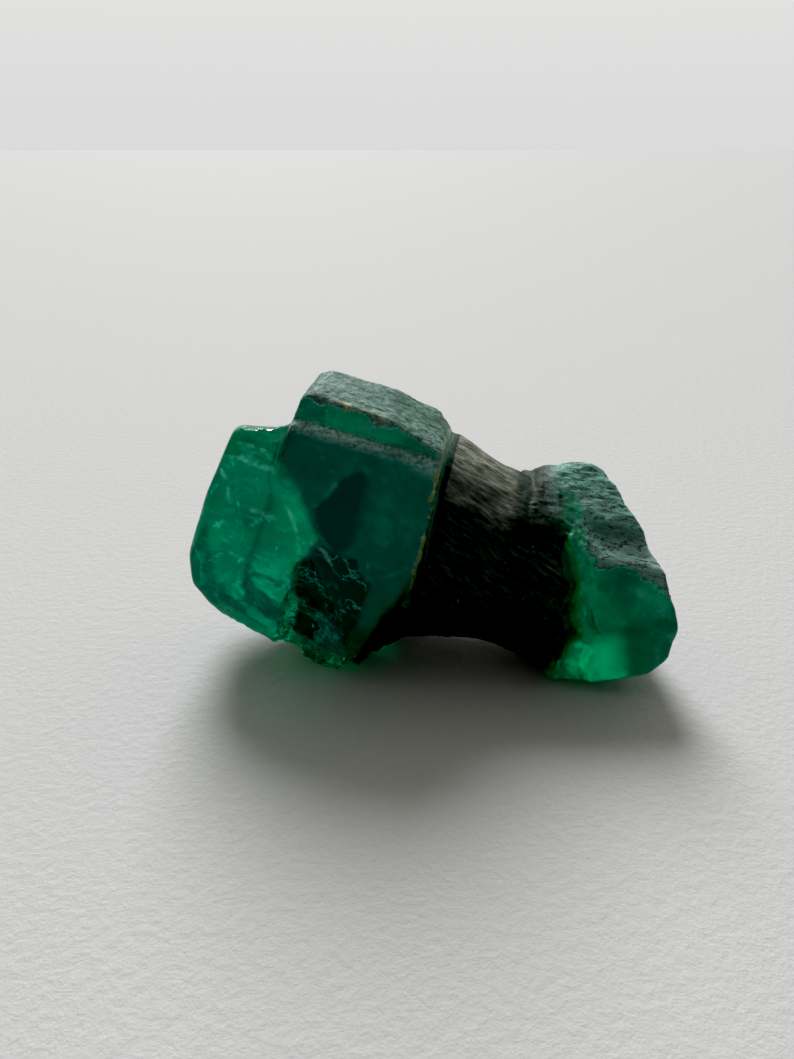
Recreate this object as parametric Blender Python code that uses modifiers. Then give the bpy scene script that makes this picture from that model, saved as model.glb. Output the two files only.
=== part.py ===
"""Raw emerald crystal: two stepped hexagonal crystal ends joined by a dark waist.

The stone grew as one piece. It lies on its side with its long axis along X, the
big end at -X, the flat bottoms of both ends on the ground and the broad prism
faces towards -Y. The origin is the middle of its box, at ground level.
"""
import math

import bmesh
import bpy
from mathutils import Vector, noise

MM = 0.001

# Big end: middle of the prism, and how its long axis dips and turns (mm, degrees)
BIG_CENTRE = (-2.6, 0.3, 5.4)
BIG_DIP = 14.0
BIG_TURN = 8.0
# Small end
SMALL_CENTRE = (6.3, -0.2, 3.6)
SMALL_DIP = 8.0
SMALL_TURN = 8.0
# Waist between them
WAIST_CENTRE = (2.2, 0.0, 4.6)
WAIST_DIP = 12.0
WAIST_TURN = 8.0
WAIST_START = -4.0
WAIST_END = 3.8
WAIST_SQUARENESS = 2.7

# Faces: outward direction (along the axis, to the back, up) and distance from the middle, mm
BIG_TOP = {
    "plateau": ((0.05, -0.16, 0.985), 5.42),
    "plateau right": ((0.27, -0.14, 0.953), 5.24),
    "left shoulder": ((-0.66, -0.05, 0.75), 5.90),
    "right shoulder": ((0.80, 0.02, 0.60), 4.42),
    "back top": ((0.0, 0.72, 0.69), 3.78),
    "back": ((0.06, 0.985, -0.16), 2.95),
}
BIG_PRISM = {
    **BIG_TOP,
    "front": ((0.0, -0.994, 0.105), 3.45),
    "ledge": ((0.0, -0.45, 0.893), 5.02),
    "front break": ((-0.265, -0.96, -0.109), 3.73),
    "front bottom": ((0.0, -0.75, -0.66), 6.0),
    "bottom": ((0.242, 0.0, -0.970), 5.75),
    "bottom left": ((-0.344, 0.0, -0.939), 5.48),
    "back bottom": ((0.0, 0.57, -0.82), 4.75),
    "left end": ((-0.995, 0.0, 0.10), 3.55),
    "right end": ((0.998, 0.0, 0.06), 2.55),
    "right foot": ((0.956, 0.0, -0.29), 2.42),
}
BIG_STEP = {
    **BIG_TOP,
    "riser": ((0.0, -0.95, 0.31), 3.94),
    "left end": ((-0.995, 0.0, 0.10), 3.58),
    "right end": ((0.998, 0.0, 0.06), 2.48),
    "below": ((0.0, 0.0, -1.0), -3.4),
}
LOBE = {
    "front": ((-0.114, -0.988, 0.104), 3.655),
    "front top": ((-0.114, -0.90, 0.42), 4.19),
    "left end": ((-0.981, -0.05, 0.195), 5.88),
    "left belly": ((-0.995, -0.05, 0.098), 5.92),
    "left corner": ((-0.970, -0.05, -0.243), 6.44),
    "left foot": ((-0.505, -0.10, -0.857), 6.00),
    "bottom": ((-0.163, 0.0, -0.987), 4.68),
    "top": ((-0.25, 0.36, 0.90), 3.46),
    "top left": ((-0.75, 0.0, 0.66), 6.14),
    "back top": ((-0.10, 0.70, 0.70), 3.45),
    "back": ((-0.15, 0.985, -0.05), 2.95),
    "back bottom": ((-0.15, 0.62, -0.77), 4.00),
    "inner end": ((1.0, 0.0, 0.0), -1.7),
}
LOBE_FOOT = {
    "front": ((-0.10, -0.93, -0.35), 3.95),
    "left end": ((-0.90, 0.0, -0.44), 6.70),
    "bottom": ((-0.33, 0.0, -0.944), 6.00),
    "top": ((0.0, 0.0, 1.0), -3.3),
    "back": ((0.0, 0.98, -0.2), 2.10),
    "back bottom": ((0.0, 0.60, -0.80), 4.10),
    "inner end": ((1.0, 0.0, 0.0), 0.5),
}
SMALL_PRISM = {
    "front": ((0.0, -0.985, 0.17), 3.34),
    "ledge": ((0.0, -0.36, 0.933), 2.70),
    "front bottom": ((0.0, -0.80, -0.60), 4.84),
    "bottom": ((0.139, 0.0, -0.990), 3.62),
    "right end": ((0.845, 0.367, 0.387), 1.62),
    "right nose": ((0.97, 0.15, -0.10), 2.92),
    "right foot": ((0.83, 0.0, -0.55), 3.64),
    "right bottom": ((0.40, -0.28, -0.87), 4.17),
    "back": ((0.10, 0.985, -0.12), 3.15),
    "back bottom": ((0.0, 0.62, -0.78), 3.95),
    "back top": ((0.0, 0.64, 0.77), 3.48),
    "left end": ((-0.93, 0.0, -0.36), 2.05),
    "left top": ((-0.55, 0.10, 0.83), 4.14),
    "front flare": ((-0.30, -0.95, 0.05), 3.30),
}
SMALL_STEP = {
    "riser": ((0.0, -0.98, 0.20), 2.41),
    "plateau": ((0.0, -0.50, 0.866), 3.30),
    "back top": ((0.0, 0.64, 0.77), 3.48),
    "right end": ((0.845, 0.367, 0.387), 1.62),
    "left end": ((-0.85, 0.0, 0.52), 4.34),
    "left top": ((-0.55, 0.10, 0.83), 4.14),
    "left foot": ((-0.80, 0.0, -0.60), 1.90),
    "back left": ((-0.62, 0.70, 0.35), 3.30),
    "back": ((0.10, 0.985, -0.12), 3.15),
    "below": ((0.0, 0.0, -1.0), 0.6),
}

# Waist section: place along the axis, then front, back, top and bottom of the section (mm)
WAIST_SECTIONS = (
    (-4.0, -2.90, 2.70, 4.15, -6.10),
    (-3.2, -3.05, 2.90, 4.10, -5.95),
    (-2.6, -3.00, 2.90, 3.90, -5.35),
    (-2.2, -2.95, 2.85, 3.75, -4.80),
    (-1.2, -2.85, 2.70, 3.45, -4.38),
    (0.0, -2.85, 2.60, 3.00, -3.98),
    (1.2, -3.00, 2.60, 2.76, -3.78),
    (2.2, -3.30, 2.70, 2.60, -3.75),
    (3.0, -3.70, 2.75, 2.40, -3.95),
    (3.8, -4.20, 2.50, 2.00, -4.10),
)

WAIST_SEGMENTS = 64
WAIST_CUTS = 20

# Where the ends pass into the waist, along each end's own axis (mm)
BIG_FADE = (2.75, 2.35)
SMALL_FADE = (-1.9, -0.7)
PLATEAU_FADE = (-3.3, -2.7)
PLATEAU_LEVEL = (2.5, 3.0)

# Relief: heights and sizes of lumps in mm
ETCH_STREAK = 0.05          # long shallow furrows of an etched face
ETCH_STREAK_SIZE = 0.42
ETCH_STREAK_STRETCH = (3.4, 1.0, 1.0)
ETCH_PIT = 0.08             # pits of an etched face
ETCH_PIT_SIZE = 0.55
ETCH_PIT_STRETCH = (2.2, 1.0, 1.0)
ETCH_PIT_EDGE = (0.18, 0.55)
RIB = 0.07                  # lengthwise ribs of the waist
RIB_SIZE = 0.50
RIB_STRETCH = (5.0, 1.0, 1.0)
FINE_RIB = 0.04
FINE_RIB_SIZE = 0.32
FINE_RIB_STRETCH = (4.0, 1.0, 1.0)
WAIST_LUMP = 0.13
WAIST_LUMP_SIZE = 1.7
SATIN = 0.037               # slow waviness of the smooth prism faces
SATIN_SIZE = 1.5
# Chipped zones: height of a chip, size of a chip, how deep the zone lies
FRONT_BREAK = (0.34, 1.15, 0.28)
UNDER_CHIPS = (0.16, 1.3, 0.10)
LOBE_TOP_CHIPS = (0.30, 0.85, 0.20)
BIG_BACK_CHIPS = (0.22, 2.3, 0.12)
SMALL_CORNER_CHIPS = (0.22, 0.95, 0.13)
SMALL_END_CHIPS = (0.12, 1.5, 0.05)
SMALL_BACK_CHIPS = (0.20, 1.9, 0.10)
BACK_ETCH = 0.5             # share of the etching on the backs
BREAK_START = -1.58         # right edge of the broken front: along = start - slope * up
BREAK_SLOPE = 0.71
BREAK_LEFT = (-2.0, -1.7)
BREAK_TOP = (-0.3, -1.1)
BREAK_WIDTH = 0.5
ETCHED_TOP_BIG = (3.4, 4.2)     # level above which the big end is etched
ETCHED_TOP_SMALL = (1.2, 1.8)
WRINKLE = 0.08              # wrinkles of the small end's top
WRINKLE_SIZE = 0.45
SMALL_ETCH = 1.3
DISH = 0.32                 # hollow in the small end's front face
DISH_MIDDLE = (1.5, -0.2)
DISH_SIZE = (1.25, 1.2)
CORNER_MIDDLE = -0.1        # rough corner beside the dish
CORNER_SIZE = 0.8
FRONT_DEPTH = (-1.5, -2.6)
BACK_DEPTH = (1.2, 2.4)

BLOCK = 30.0            # raw block that the faces are cleaved from
VOXEL = 0.13            # grid that fuses the blocks into one skin
EDGE_WEAR = 7           # rounds of smoothing that wear the edges
TRIANGLES = 8800        # budget of the finished solid
GROUND = 0.0            # level of the resting faces
TINY = 1e-9
SLIVER = 0.004          # shorter edges are dropped
EMERALD_COLOUR = (0.01, 0.33, 0.20, 1.0)
EMERALD_ROUGHNESS = 0.25


def clearScene():
    for item in list(bpy.data.objects):
        bpy.data.objects.remove(item, do_unlink=True)


def makeCollection(name):
    collection = bpy.data.collections.new(name)
    bpy.context.scene.collection.children.link(collection)
    return collection


def crystalFrame(centre, dip, turn):
    """Middle and the three directions of a crystal: along, to the back, up."""
    dip = math.radians(dip)
    turn = math.radians(turn)
    along = Vector((math.cos(dip) * math.cos(turn), -math.cos(dip) * math.sin(turn), -math.sin(dip)))
    back = Vector((math.sin(turn), math.cos(turn), 0.0))
    up = along.cross(back)
    return Vector(centre), along, back, up


def toWorld(frame, local):
    centre, along, back, up = frame
    return centre + along * local[0] + back * local[1] + up * local[2]


def toLocal(frame, point):
    centre, along, back, up = frame
    offset = point - centre
    return Vector((offset.dot(along), offset.dot(back), offset.dot(up)))


def newObject(name, bm, collection):
    mesh = bpy.data.meshes.new(name)
    bm.to_mesh(mesh)
    bm.free()
    item = bpy.data.objects.new(name, mesh)
    collection.objects.link(item)
    return item


def cleave(bm, point, direction):
    """Cut a closed mesh flat and close the cut."""
    everything = bm.verts[:] + bm.edges[:] + bm.faces[:]
    bmesh.ops.bisect_plane(
        bm, geom=everything, dist=TINY, plane_co=point, plane_no=direction, clear_outer=True)
    openEdges = [edge for edge in bm.edges if edge.is_boundary]
    bmesh.ops.holes_fill(bm, edges=openEdges, sides=0)


def cleaveFace(bm, frame, face):
    """Cut along one crystal face, given by its direction and distance in a crystal's frame."""
    direction, distance = face
    unit = Vector(direction).normalized()
    point = toWorld(frame, unit * distance)
    outward = toWorld(frame, unit) - frame[0]
    cleave(bm, point * MM, outward)


def cleavedBlock(name, frame, faces, collection):
    """A crystal block: a raw cube cut by its faces."""
    bm = bmesh.new()
    bmesh.ops.create_cube(bm, size=BLOCK * MM)
    for vert in bm.verts:
        vert.co += frame[0] * MM
    for face in faces.values():
        cleaveFace(bm, frame, face)
    return newObject(name, bm, collection)


def waistSection(along):
    """Front, back, top and bottom of the waist at one place along it."""
    sections = WAIST_SECTIONS
    for first, second in zip(sections, sections[1:]):
        if along <= second[0]:
            share = (along - first[0]) / (second[0] - first[0])
            share = min(max(share, 0.0), 1.0)
            return [a + (b - a) * share for a, b in zip(first[1:], second[1:])]
    return sections[-1][1:]


def roundedAxis(value):
    """One coordinate of a squarish oval, from a coordinate of a circle."""
    return math.copysign(abs(value) ** (2.0 / WAIST_SQUARENESS), value)


def waistTube(name, frame, small, collection):
    """The flared waist: a cylinder pulled out to its oval sections, flush with the small end."""
    length = WAIST_END - WAIST_START
    bm = bmesh.new()
    bmesh.ops.create_cone(bm, segments=WAIST_SEGMENTS, cap_ends=True, radius1=1.0, radius2=1.0, depth=length)
    sides = [edge for edge in bm.edges if abs(edge.verts[0].co.z - edge.verts[1].co.z) > length / 2]
    bmesh.ops.subdivide_edges(bm, edges=sides, cuts=WAIST_CUTS, use_grid_fill=False)
    for vert in bm.verts:
        along = vert.co.z + (WAIST_START + WAIST_END) / 2
        front, back, top, bottom = waistSection(along)
        depth = roundedAxis(vert.co.x) * (back - front) / 2 + (back + front) / 2
        height = roundedAxis(vert.co.y) * (top - bottom) / 2 + (top + bottom) / 2
        vert.co = toWorld(frame, (along, depth, height)) * MM
    bmesh.ops.recalc_face_normals(bm, faces=bm.faces[:])
    for face in ("front", "front bottom", "bottom"):
        cleaveFace(bm, small, SMALL_PRISM[face])
    return newObject(name, bm, collection)


def applyModifiers(item):
    """Replace an object's mesh by what its modifiers make of it."""
    depsgraph = bpy.context.evaluated_depsgraph_get()
    mesh = bpy.data.meshes.new_from_object(item.evaluated_get(depsgraph))
    item.modifiers.clear()
    item.data = mesh


def gather(name, blocks, collection):
    """Put the overlapping blocks into one object."""
    bm = bmesh.new()
    for block in blocks:
        bm.from_mesh(block.data)
        bpy.data.objects.remove(block, do_unlink=True)
    return newObject(name, bm, collection)


def fuse(item):
    """One even skin over the overlapping blocks, with slightly worn edges."""
    remesh = item.modifiers.new("skin", "REMESH")
    remesh.mode = "VOXEL"
    remesh.voxel_size = VOXEL * MM
    wear = item.modifiers.new("worn edges", "SMOOTH")
    wear.factor = 0.5
    wear.iterations = EDGE_WEAR
    applyModifiers(item)


def smoothStep(low, high, value):
    share = min(max((value - low) / (high - low), 0.0), 1.0)
    return share * share * (3.0 - 2.0 * share)


def grain(point, size, stretch=(1.0, 1.0, 1.0), seed=0.0):
    """Noise from -1 to 1 with lumps of the given size in mm."""
    scaled = Vector(point[axis] / (size * stretch[axis]) for axis in range(3))
    return noise.noise(scaled + Vector((seed, seed * 1.7, -seed)))


def chips(point, zone, seed):
    """Flat-bottomed chips with sharp ridges, set into the face."""
    height, size, sunk = zone
    scaled = Vector(point) / size + Vector((seed, -seed, seed * 0.5))
    distances, _ = noise.voronoi(scaled)
    return height * min(distances[1] - distances[0], 1.0) - sunk


def etched(local):
    """Long pits of an etched face, run along the crystal."""
    streak = grain(local, ETCH_STREAK_SIZE, ETCH_STREAK_STRETCH, 3.1)
    pits = -smoothStep(*ETCH_PIT_EDGE, grain(local, ETCH_PIT_SIZE, ETCH_PIT_STRETCH, 8.7))
    return ETCH_STREAK * streak + ETCH_PIT * pits


def waistRelief(local):
    """Lengthwise ribs and soft lumps of the waist."""
    ribs = grain(local, RIB_SIZE, RIB_STRETCH, 12.3)
    fine = grain(local, FINE_RIB_SIZE, FINE_RIB_STRETCH, 5.9)
    lumps = grain(local, WAIST_LUMP_SIZE, seed=21.0)
    return RIB * ribs + FINE_RIB * fine + WAIST_LUMP * lumps


def brokenFront(local):
    """Share of the broken lower front of the big end."""
    along, depth, height = local
    edge = BREAK_START - BREAK_SLOPE * height
    share = smoothStep(edge, edge - BREAK_WIDTH, along) * smoothStep(*BREAK_LEFT, along)
    return share * smoothStep(*BREAK_TOP, height) * smoothStep(0.5, -1.5, depth)


def bigRelief(local, normal):
    """Relief of the big end: etched top, broken lower front and lobe."""
    along, depth, height = local
    relief = SATIN * grain(local, SATIN_SIZE, seed=2.0)
    top = smoothStep(0.35, 0.75, normal[2]) * smoothStep(*ETCHED_TOP_BIG, height)
    relief += top * etched(local)
    relief += brokenFront(local) * chips(local, FRONT_BREAK, 4.0)
    relief += smoothStep(-2.6, -3.8, height) * chips(local, UNDER_CHIPS, 9.0)
    lobeTop = smoothStep(-3.3, -3.8, along) * smoothStep(2.9, 3.6, height)
    relief += lobeTop * chips(local, LOBE_TOP_CHIPS, 1.0)
    hidden = smoothStep(*BACK_DEPTH, depth)
    relief += hidden * (chips(local, BIG_BACK_CHIPS, 7.0) + BACK_ETCH * etched(local))
    return relief


def smallRelief(local, normal):
    """Relief of the small end: wrinkled top and a dished, glowing front."""
    along, depth, height = local
    relief = SATIN * grain(local, SATIN_SIZE, seed=14.0)
    top = smoothStep(0.30, 0.70, normal[2]) * smoothStep(*ETCHED_TOP_SMALL, height)
    wrinkles = grain(local, WRINKLE_SIZE, ETCH_PIT_STRETCH, 17.0)
    relief += top * (SMALL_ETCH * etched(local) + WRINKLE * wrinkles)
    front = smoothStep(*FRONT_DEPTH, depth)
    across = (along - DISH_MIDDLE[0]) / DISH_SIZE[0]
    upward = (height - DISH_MIDDLE[1]) / DISH_SIZE[1]
    relief -= DISH * front * math.exp(-across ** 2 - upward ** 2)
    corner = math.exp(-((along - CORNER_MIDDLE) / CORNER_SIZE) ** 2) * smoothStep(1.6, 0.6, height)
    relief += front * corner * chips(local, SMALL_CORNER_CHIPS, 3.0)
    relief += smoothStep(0.4, 0.8, normal[0]) * chips(local, SMALL_END_CHIPS, 11.0)
    hidden = smoothStep(*BACK_DEPTH, depth)
    relief += hidden * (chips(local, SMALL_BACK_CHIPS, 5.0) + BACK_ETCH * etched(local))
    return relief


def regionShares(big, small, point):
    """How much a point belongs to the big end and to the small end; the rest is waist."""
    bigPlace = toLocal(big, point)
    smallPlace = toLocal(small, point)
    bigShare = smoothStep(*BIG_FADE, bigPlace[0])
    smallShare = smoothStep(*SMALL_FADE, smallPlace[0])
    plateauShare = smoothStep(*PLATEAU_FADE, smallPlace[0]) * smoothStep(*PLATEAU_LEVEL, smallPlace[2])
    return bigShare, max(smallShare, plateauShare)


def weather(item, big, small, waist):
    """Push each point of the skin along its normal by the relief of its region."""
    mesh = item.data
    moves = []
    for vert in mesh.vertices:
        point = vert.co / MM
        normal = vert.normal
        bigShare, smallShare = regionShares(big, small, point)
        waistShare = max(1.0 - bigShare - smallShare, 0.0)
        relief = waistShare * waistRelief(toLocal(waist, point))
        if bigShare > 0.0:
            tilted = toLocal(big, normal + big[0])
            relief += bigShare * bigRelief(toLocal(big, point), tilted)
        if smallShare > 0.0:
            tilted = toLocal(small, normal + small[0])
            relief += smallShare * smallRelief(toLocal(small, point), tilted)
        moves.append(normal * relief * MM)
    for vert, move in zip(mesh.vertices, moves):
        vert.co += move


def reduceFaces(item):
    triangles = sum(len(polygon.vertices) - 2 for polygon in item.data.polygons)
    thin = item.modifiers.new("fewer faces", "DECIMATE")
    thin.ratio = TRIANGLES / triangles
    thin.use_collapse_triangulate = True
    applyModifiers(item)


def settle(item):
    """Cut the bottoms flat at the ground and put the origin under the middle."""
    bm = bmesh.new()
    bm.from_mesh(item.data)
    cleave(bm, Vector((0.0, 0.0, GROUND * MM)), Vector((0.0, 0.0, -1.0)))
    bmesh.ops.dissolve_degenerate(bm, edges=bm.edges[:], dist=SLIVER * MM)
    bmesh.ops.triangulate(bm, faces=bm.faces[:])
    bmesh.ops.recalc_face_normals(bm, faces=bm.faces[:])
    low = [min(vert.co[axis] for vert in bm.verts) for axis in range(3)]
    high = [max(vert.co[axis] for vert in bm.verts) for axis in range(3)]
    middle = Vector(((low[0] + high[0]) / 2, (low[1] + high[1]) / 2, low[2]))
    for vert in bm.verts:
        vert.co -= middle
    bm.to_mesh(item.data)
    bm.free()


def emeraldMaterial():
    material = bpy.data.materials.new("emerald")
    material.use_nodes = True
    shader = material.node_tree.nodes["Principled BSDF"]
    shader.inputs["Base Color"].default_value = EMERALD_COLOUR
    shader.inputs["Roughness"].default_value = EMERALD_ROUGHNESS
    shader.inputs["Metallic"].default_value = 0.0
    return material


def main():
    clearScene()
    stone = makeCollection("raw_emerald_crystal")
    big = crystalFrame(BIG_CENTRE, BIG_DIP, BIG_TURN)
    small = crystalFrame(SMALL_CENTRE, SMALL_DIP, SMALL_TURN)
    waist = crystalFrame(WAIST_CENTRE, WAIST_DIP, WAIST_TURN)
    blocks = [
        cleavedBlock("big prism", big, BIG_PRISM, stone),
        cleavedBlock("big step", big, BIG_STEP, stone),
        cleavedBlock("lobe", big, LOBE, stone),
        cleavedBlock("lobe foot", big, LOBE_FOOT, stone),
        waistTube("waist", waist, small, stone),
        cleavedBlock("small prism", small, SMALL_PRISM, stone),
        cleavedBlock("small step", small, SMALL_STEP, stone),
    ]
    emerald = gather("emerald_crystal", blocks, stone)
    fuse(emerald)
    weather(emerald, big, small, waist)
    reduceFaces(emerald)
    settle(emerald)
    emerald.data.materials.clear()
    emerald.data.materials.append(emeraldMaterial())


main()
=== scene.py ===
import math

import bpy
from mathutils import Matrix, Vector, noise


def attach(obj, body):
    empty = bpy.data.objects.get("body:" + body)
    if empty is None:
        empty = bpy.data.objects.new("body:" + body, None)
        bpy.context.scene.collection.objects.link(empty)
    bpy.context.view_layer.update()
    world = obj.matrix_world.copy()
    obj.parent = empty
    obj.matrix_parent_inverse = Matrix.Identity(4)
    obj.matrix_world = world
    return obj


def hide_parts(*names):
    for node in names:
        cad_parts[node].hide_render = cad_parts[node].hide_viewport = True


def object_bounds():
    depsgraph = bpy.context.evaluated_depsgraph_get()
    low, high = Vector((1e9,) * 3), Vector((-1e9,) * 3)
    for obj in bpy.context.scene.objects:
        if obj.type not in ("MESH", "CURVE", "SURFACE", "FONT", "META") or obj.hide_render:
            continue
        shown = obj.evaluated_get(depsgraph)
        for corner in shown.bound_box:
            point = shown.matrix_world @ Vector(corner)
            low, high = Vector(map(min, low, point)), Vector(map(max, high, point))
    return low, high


mm = 0.001

print("stage 1: frame")
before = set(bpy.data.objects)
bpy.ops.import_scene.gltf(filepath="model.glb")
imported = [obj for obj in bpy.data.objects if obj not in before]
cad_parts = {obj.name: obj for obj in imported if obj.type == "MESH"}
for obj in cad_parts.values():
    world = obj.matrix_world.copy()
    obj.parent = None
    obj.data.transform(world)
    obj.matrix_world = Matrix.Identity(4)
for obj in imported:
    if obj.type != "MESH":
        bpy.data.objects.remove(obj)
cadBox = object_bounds()


# crystal axes: long axis dips to the right and turns a little towards the front
crystals = {
    "big": {"centre": (-2.509, 0.406, 5.4), "dip": 14.0, "turn": 8.0},
    "small": {"centre": (6.391, -0.094, 3.6), "dip": 8.0, "turn": 8.0},
    "waist": {"centre": (2.291, 0.106, 4.6), "dip": 12.0, "turn": 8.0},
}


def crystalMatrix(name):
    spec = crystals[name]
    dip = math.radians(spec["dip"])
    turn = math.radians(spec["turn"])
    along = Vector((math.cos(dip) * math.cos(turn), -math.cos(dip) * math.sin(turn), -math.sin(dip)))
    back = Vector((math.sin(turn), math.cos(turn), 0.0))
    up = along.cross(back)
    place = Matrix((along, back, up)).transposed().to_4x4()
    place.translation = Vector(spec["centre"]) * mm
    return place


places = {name: crystalMatrix(name) for name in crystals}

# cleaved faces: outward direction (along, back, up) and distance from the crystal's middle in mm
bigTop = {
    "plateau": ((0.05, -0.16, 0.985), 5.42),
    "plateauRight": ((0.27, -0.14, 0.953), 5.24),
    "leftShoulder": ((-0.66, -0.05, 0.75), 5.90),
    "rightShoulder": ((0.80, 0.02, 0.60), 4.42),
    "backTop": ((0.0, 0.72, 0.69), 3.78),
    "back": ((0.06, 0.985, -0.16), 2.95),
}
blocks = {
    "bigPrism": ("big", {
        **bigTop,
        "front": ((0.0, -0.994, 0.105), 3.45),
        "ledge": ((0.0, -0.45, 0.893), 5.02),
        "frontBreak": ((-0.265, -0.96, -0.109), 3.73),
        "frontBottom": ((0.0, -0.75, -0.66), 6.0),
        "bottom": ((0.242, 0.0, -0.970), 5.75),
        "bottomLeft": ((-0.344, 0.0, -0.939), 5.48),
        "backBottom": ((0.0, 0.57, -0.82), 4.75),
        "leftEnd": ((-0.995, 0.0, 0.10), 3.55),
        "rightEnd": ((0.998, 0.0, 0.06), 2.55),
        "rightFoot": ((0.956, 0.0, -0.29), 2.42),
    }),
    "bigStep": ("big", {
        **bigTop,
        "riser": ((0.0, -0.95, 0.31), 3.94),
        "leftEnd": ((-0.995, 0.0, 0.10), 3.58),
        "rightEnd": ((0.998, 0.0, 0.06), 2.48),
        "below": ((0.0, 0.0, -1.0), -3.4),
    }),
    "lobe": ("big", {
        "front": ((-0.114, -0.988, 0.104), 3.655),
        "frontTop": ((-0.114, -0.90, 0.42), 4.19),
        "leftEnd": ((-0.981, -0.05, 0.195), 5.88),
        "leftBelly": ((-0.995, -0.05, 0.098), 5.92),
        "leftCorner": ((-0.970, -0.05, -0.243), 6.44),
        "leftFoot": ((-0.505, -0.10, -0.857), 6.00),
        "bottom": ((-0.163, 0.0, -0.987), 4.68),
        "top": ((-0.25, 0.36, 0.90), 3.46),
        "topLeft": ((-0.75, 0.0, 0.66), 6.14),
        "backTop": ((-0.10, 0.70, 0.70), 3.45),
        "back": ((-0.15, 0.985, -0.05), 2.95),
        "backBottom": ((-0.15, 0.62, -0.77), 4.00),
        "innerEnd": ((1.0, 0.0, 0.0), -1.7),
    }),
    "lobeFoot": ("big", {
        "front": ((-0.10, -0.93, -0.35), 3.95),
        "leftEnd": ((-0.90, 0.0, -0.44), 6.70),
        "bottom": ((-0.33, 0.0, -0.944), 6.00),
        "top": ((0.0, 0.0, 1.0), -3.3),
        "back": ((0.0, 0.98, -0.2), 2.10),
        "backBottom": ((0.0, 0.60, -0.80), 4.10),
        "innerEnd": ((1.0, 0.0, 0.0), 0.5),
    }),
    "smallPrism": ("small", {
        "front": ((0.0, -0.985, 0.17), 3.34),
        "ledge": ((0.0, -0.36, 0.933), 2.70),
        "frontBottom": ((0.0, -0.80, -0.60), 4.84),
        "bottom": ((0.139, 0.0, -0.990), 3.62),
        "rightEnd": ((0.845, 0.367, 0.387), 1.62),
        "rightNose": ((0.97, 0.15, -0.10), 2.92),
        "rightFoot": ((0.83, 0.0, -0.55), 3.64),
        "rightBottom": ((0.40, -0.28, -0.87), 4.17),
        "back": ((0.10, 0.985, -0.12), 3.15),
        "backBottom": ((0.0, 0.62, -0.78), 3.95),
        "backTop": ((0.0, 0.64, 0.77), 3.48),
        "leftEnd": ((-0.93, 0.0, -0.36), 2.05),
        "leftTop": ((-0.55, 0.10, 0.83), 4.14),
        "frontFlare": ((-0.30, -0.95, 0.05), 3.30),
    }),
    "smallStep": ("small", {
        "riser": ((0.0, -0.98, 0.20), 2.41),
        "plateau": ((0.0, -0.50, 0.866), 3.30),
        "backTop": ((0.0, 0.64, 0.77), 3.48),
        "rightEnd": ((0.845, 0.367, 0.387), 1.62),
        "leftEnd": ((-0.85, 0.0, 0.52), 4.34),
        "leftTop": ((-0.55, 0.10, 0.83), 4.14),
        "leftFoot": ((-0.80, 0.0, -0.60), 1.90),
        "backLeft": ((-0.62, 0.70, 0.35), 3.30),
        "back": ((0.10, 0.985, -0.12), 3.15),
        "below": ((0.0, 0.0, -1.0), 0.6),
    }),
}
rawBlock = 30.0          # mm, the cube that each block is cleaved from
cutTolerance = 1e-7      # metres


def deselectAll():
    if bpy.context.object and bpy.context.object.mode != "OBJECT":
        bpy.ops.object.mode_set(mode="OBJECT")
    bpy.ops.object.select_all(action="DESELECT")


def cleave(direction, distance, place=None):
    # cuts away all that lies beyond the plane, in edit mode
    unit = Vector(direction).normalized()
    point = unit * distance * mm
    if place is not None:
        point, unit = place @ point, place.to_3x3() @ unit
    bpy.ops.mesh.select_all(action="SELECT")
    bpy.ops.mesh.bisect(plane_co=point, plane_no=unit, use_fill=True, clear_outer=True,
                        threshold=cutTolerance)


def putDown(item, place):
    item.matrix_world = place
    bpy.ops.object.transform_apply(location=True, rotation=True, scale=True)


def cleavedBlock(name):
    crystal, faces = blocks[name]
    deselectAll()
    bpy.ops.mesh.primitive_cube_add(size=rawBlock * mm, location=(0, 0, 0))
    block = bpy.context.object
    block.name = name
    bpy.ops.object.mode_set(mode="EDIT")
    for direction, distance in faces.values():
        cleave(direction, distance)
    bpy.ops.object.mode_set(mode="OBJECT")
    putDown(block, places[crystal])
    return block


waistShape = {
    # along, front, back, top, bottom in mm
    "sections": (
        (-4.0, -2.90, 2.70, 4.15, -6.10),
        (-3.2, -3.05, 2.90, 4.10, -5.95),
        (-2.6, -3.00, 2.90, 3.90, -5.35),
        (-2.2, -2.95, 2.85, 3.75, -4.80),
        (-1.2, -2.85, 2.70, 3.45, -4.38),
        (0.0, -2.85, 2.60, 3.00, -3.98),
        (1.2, -3.00, 2.60, 2.76, -3.78),
        (2.2, -3.30, 2.70, 2.60, -3.75),
        (3.0, -3.70, 2.75, 2.40, -3.95),
        (3.8, -4.20, 2.50, 2.00, -4.10),
    ),
    "segments": 64,
    "squareness": 2.7,
}


def squarish(value):
    return math.copysign(abs(value) ** (2.0 / waistShape["squareness"]), value)


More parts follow.
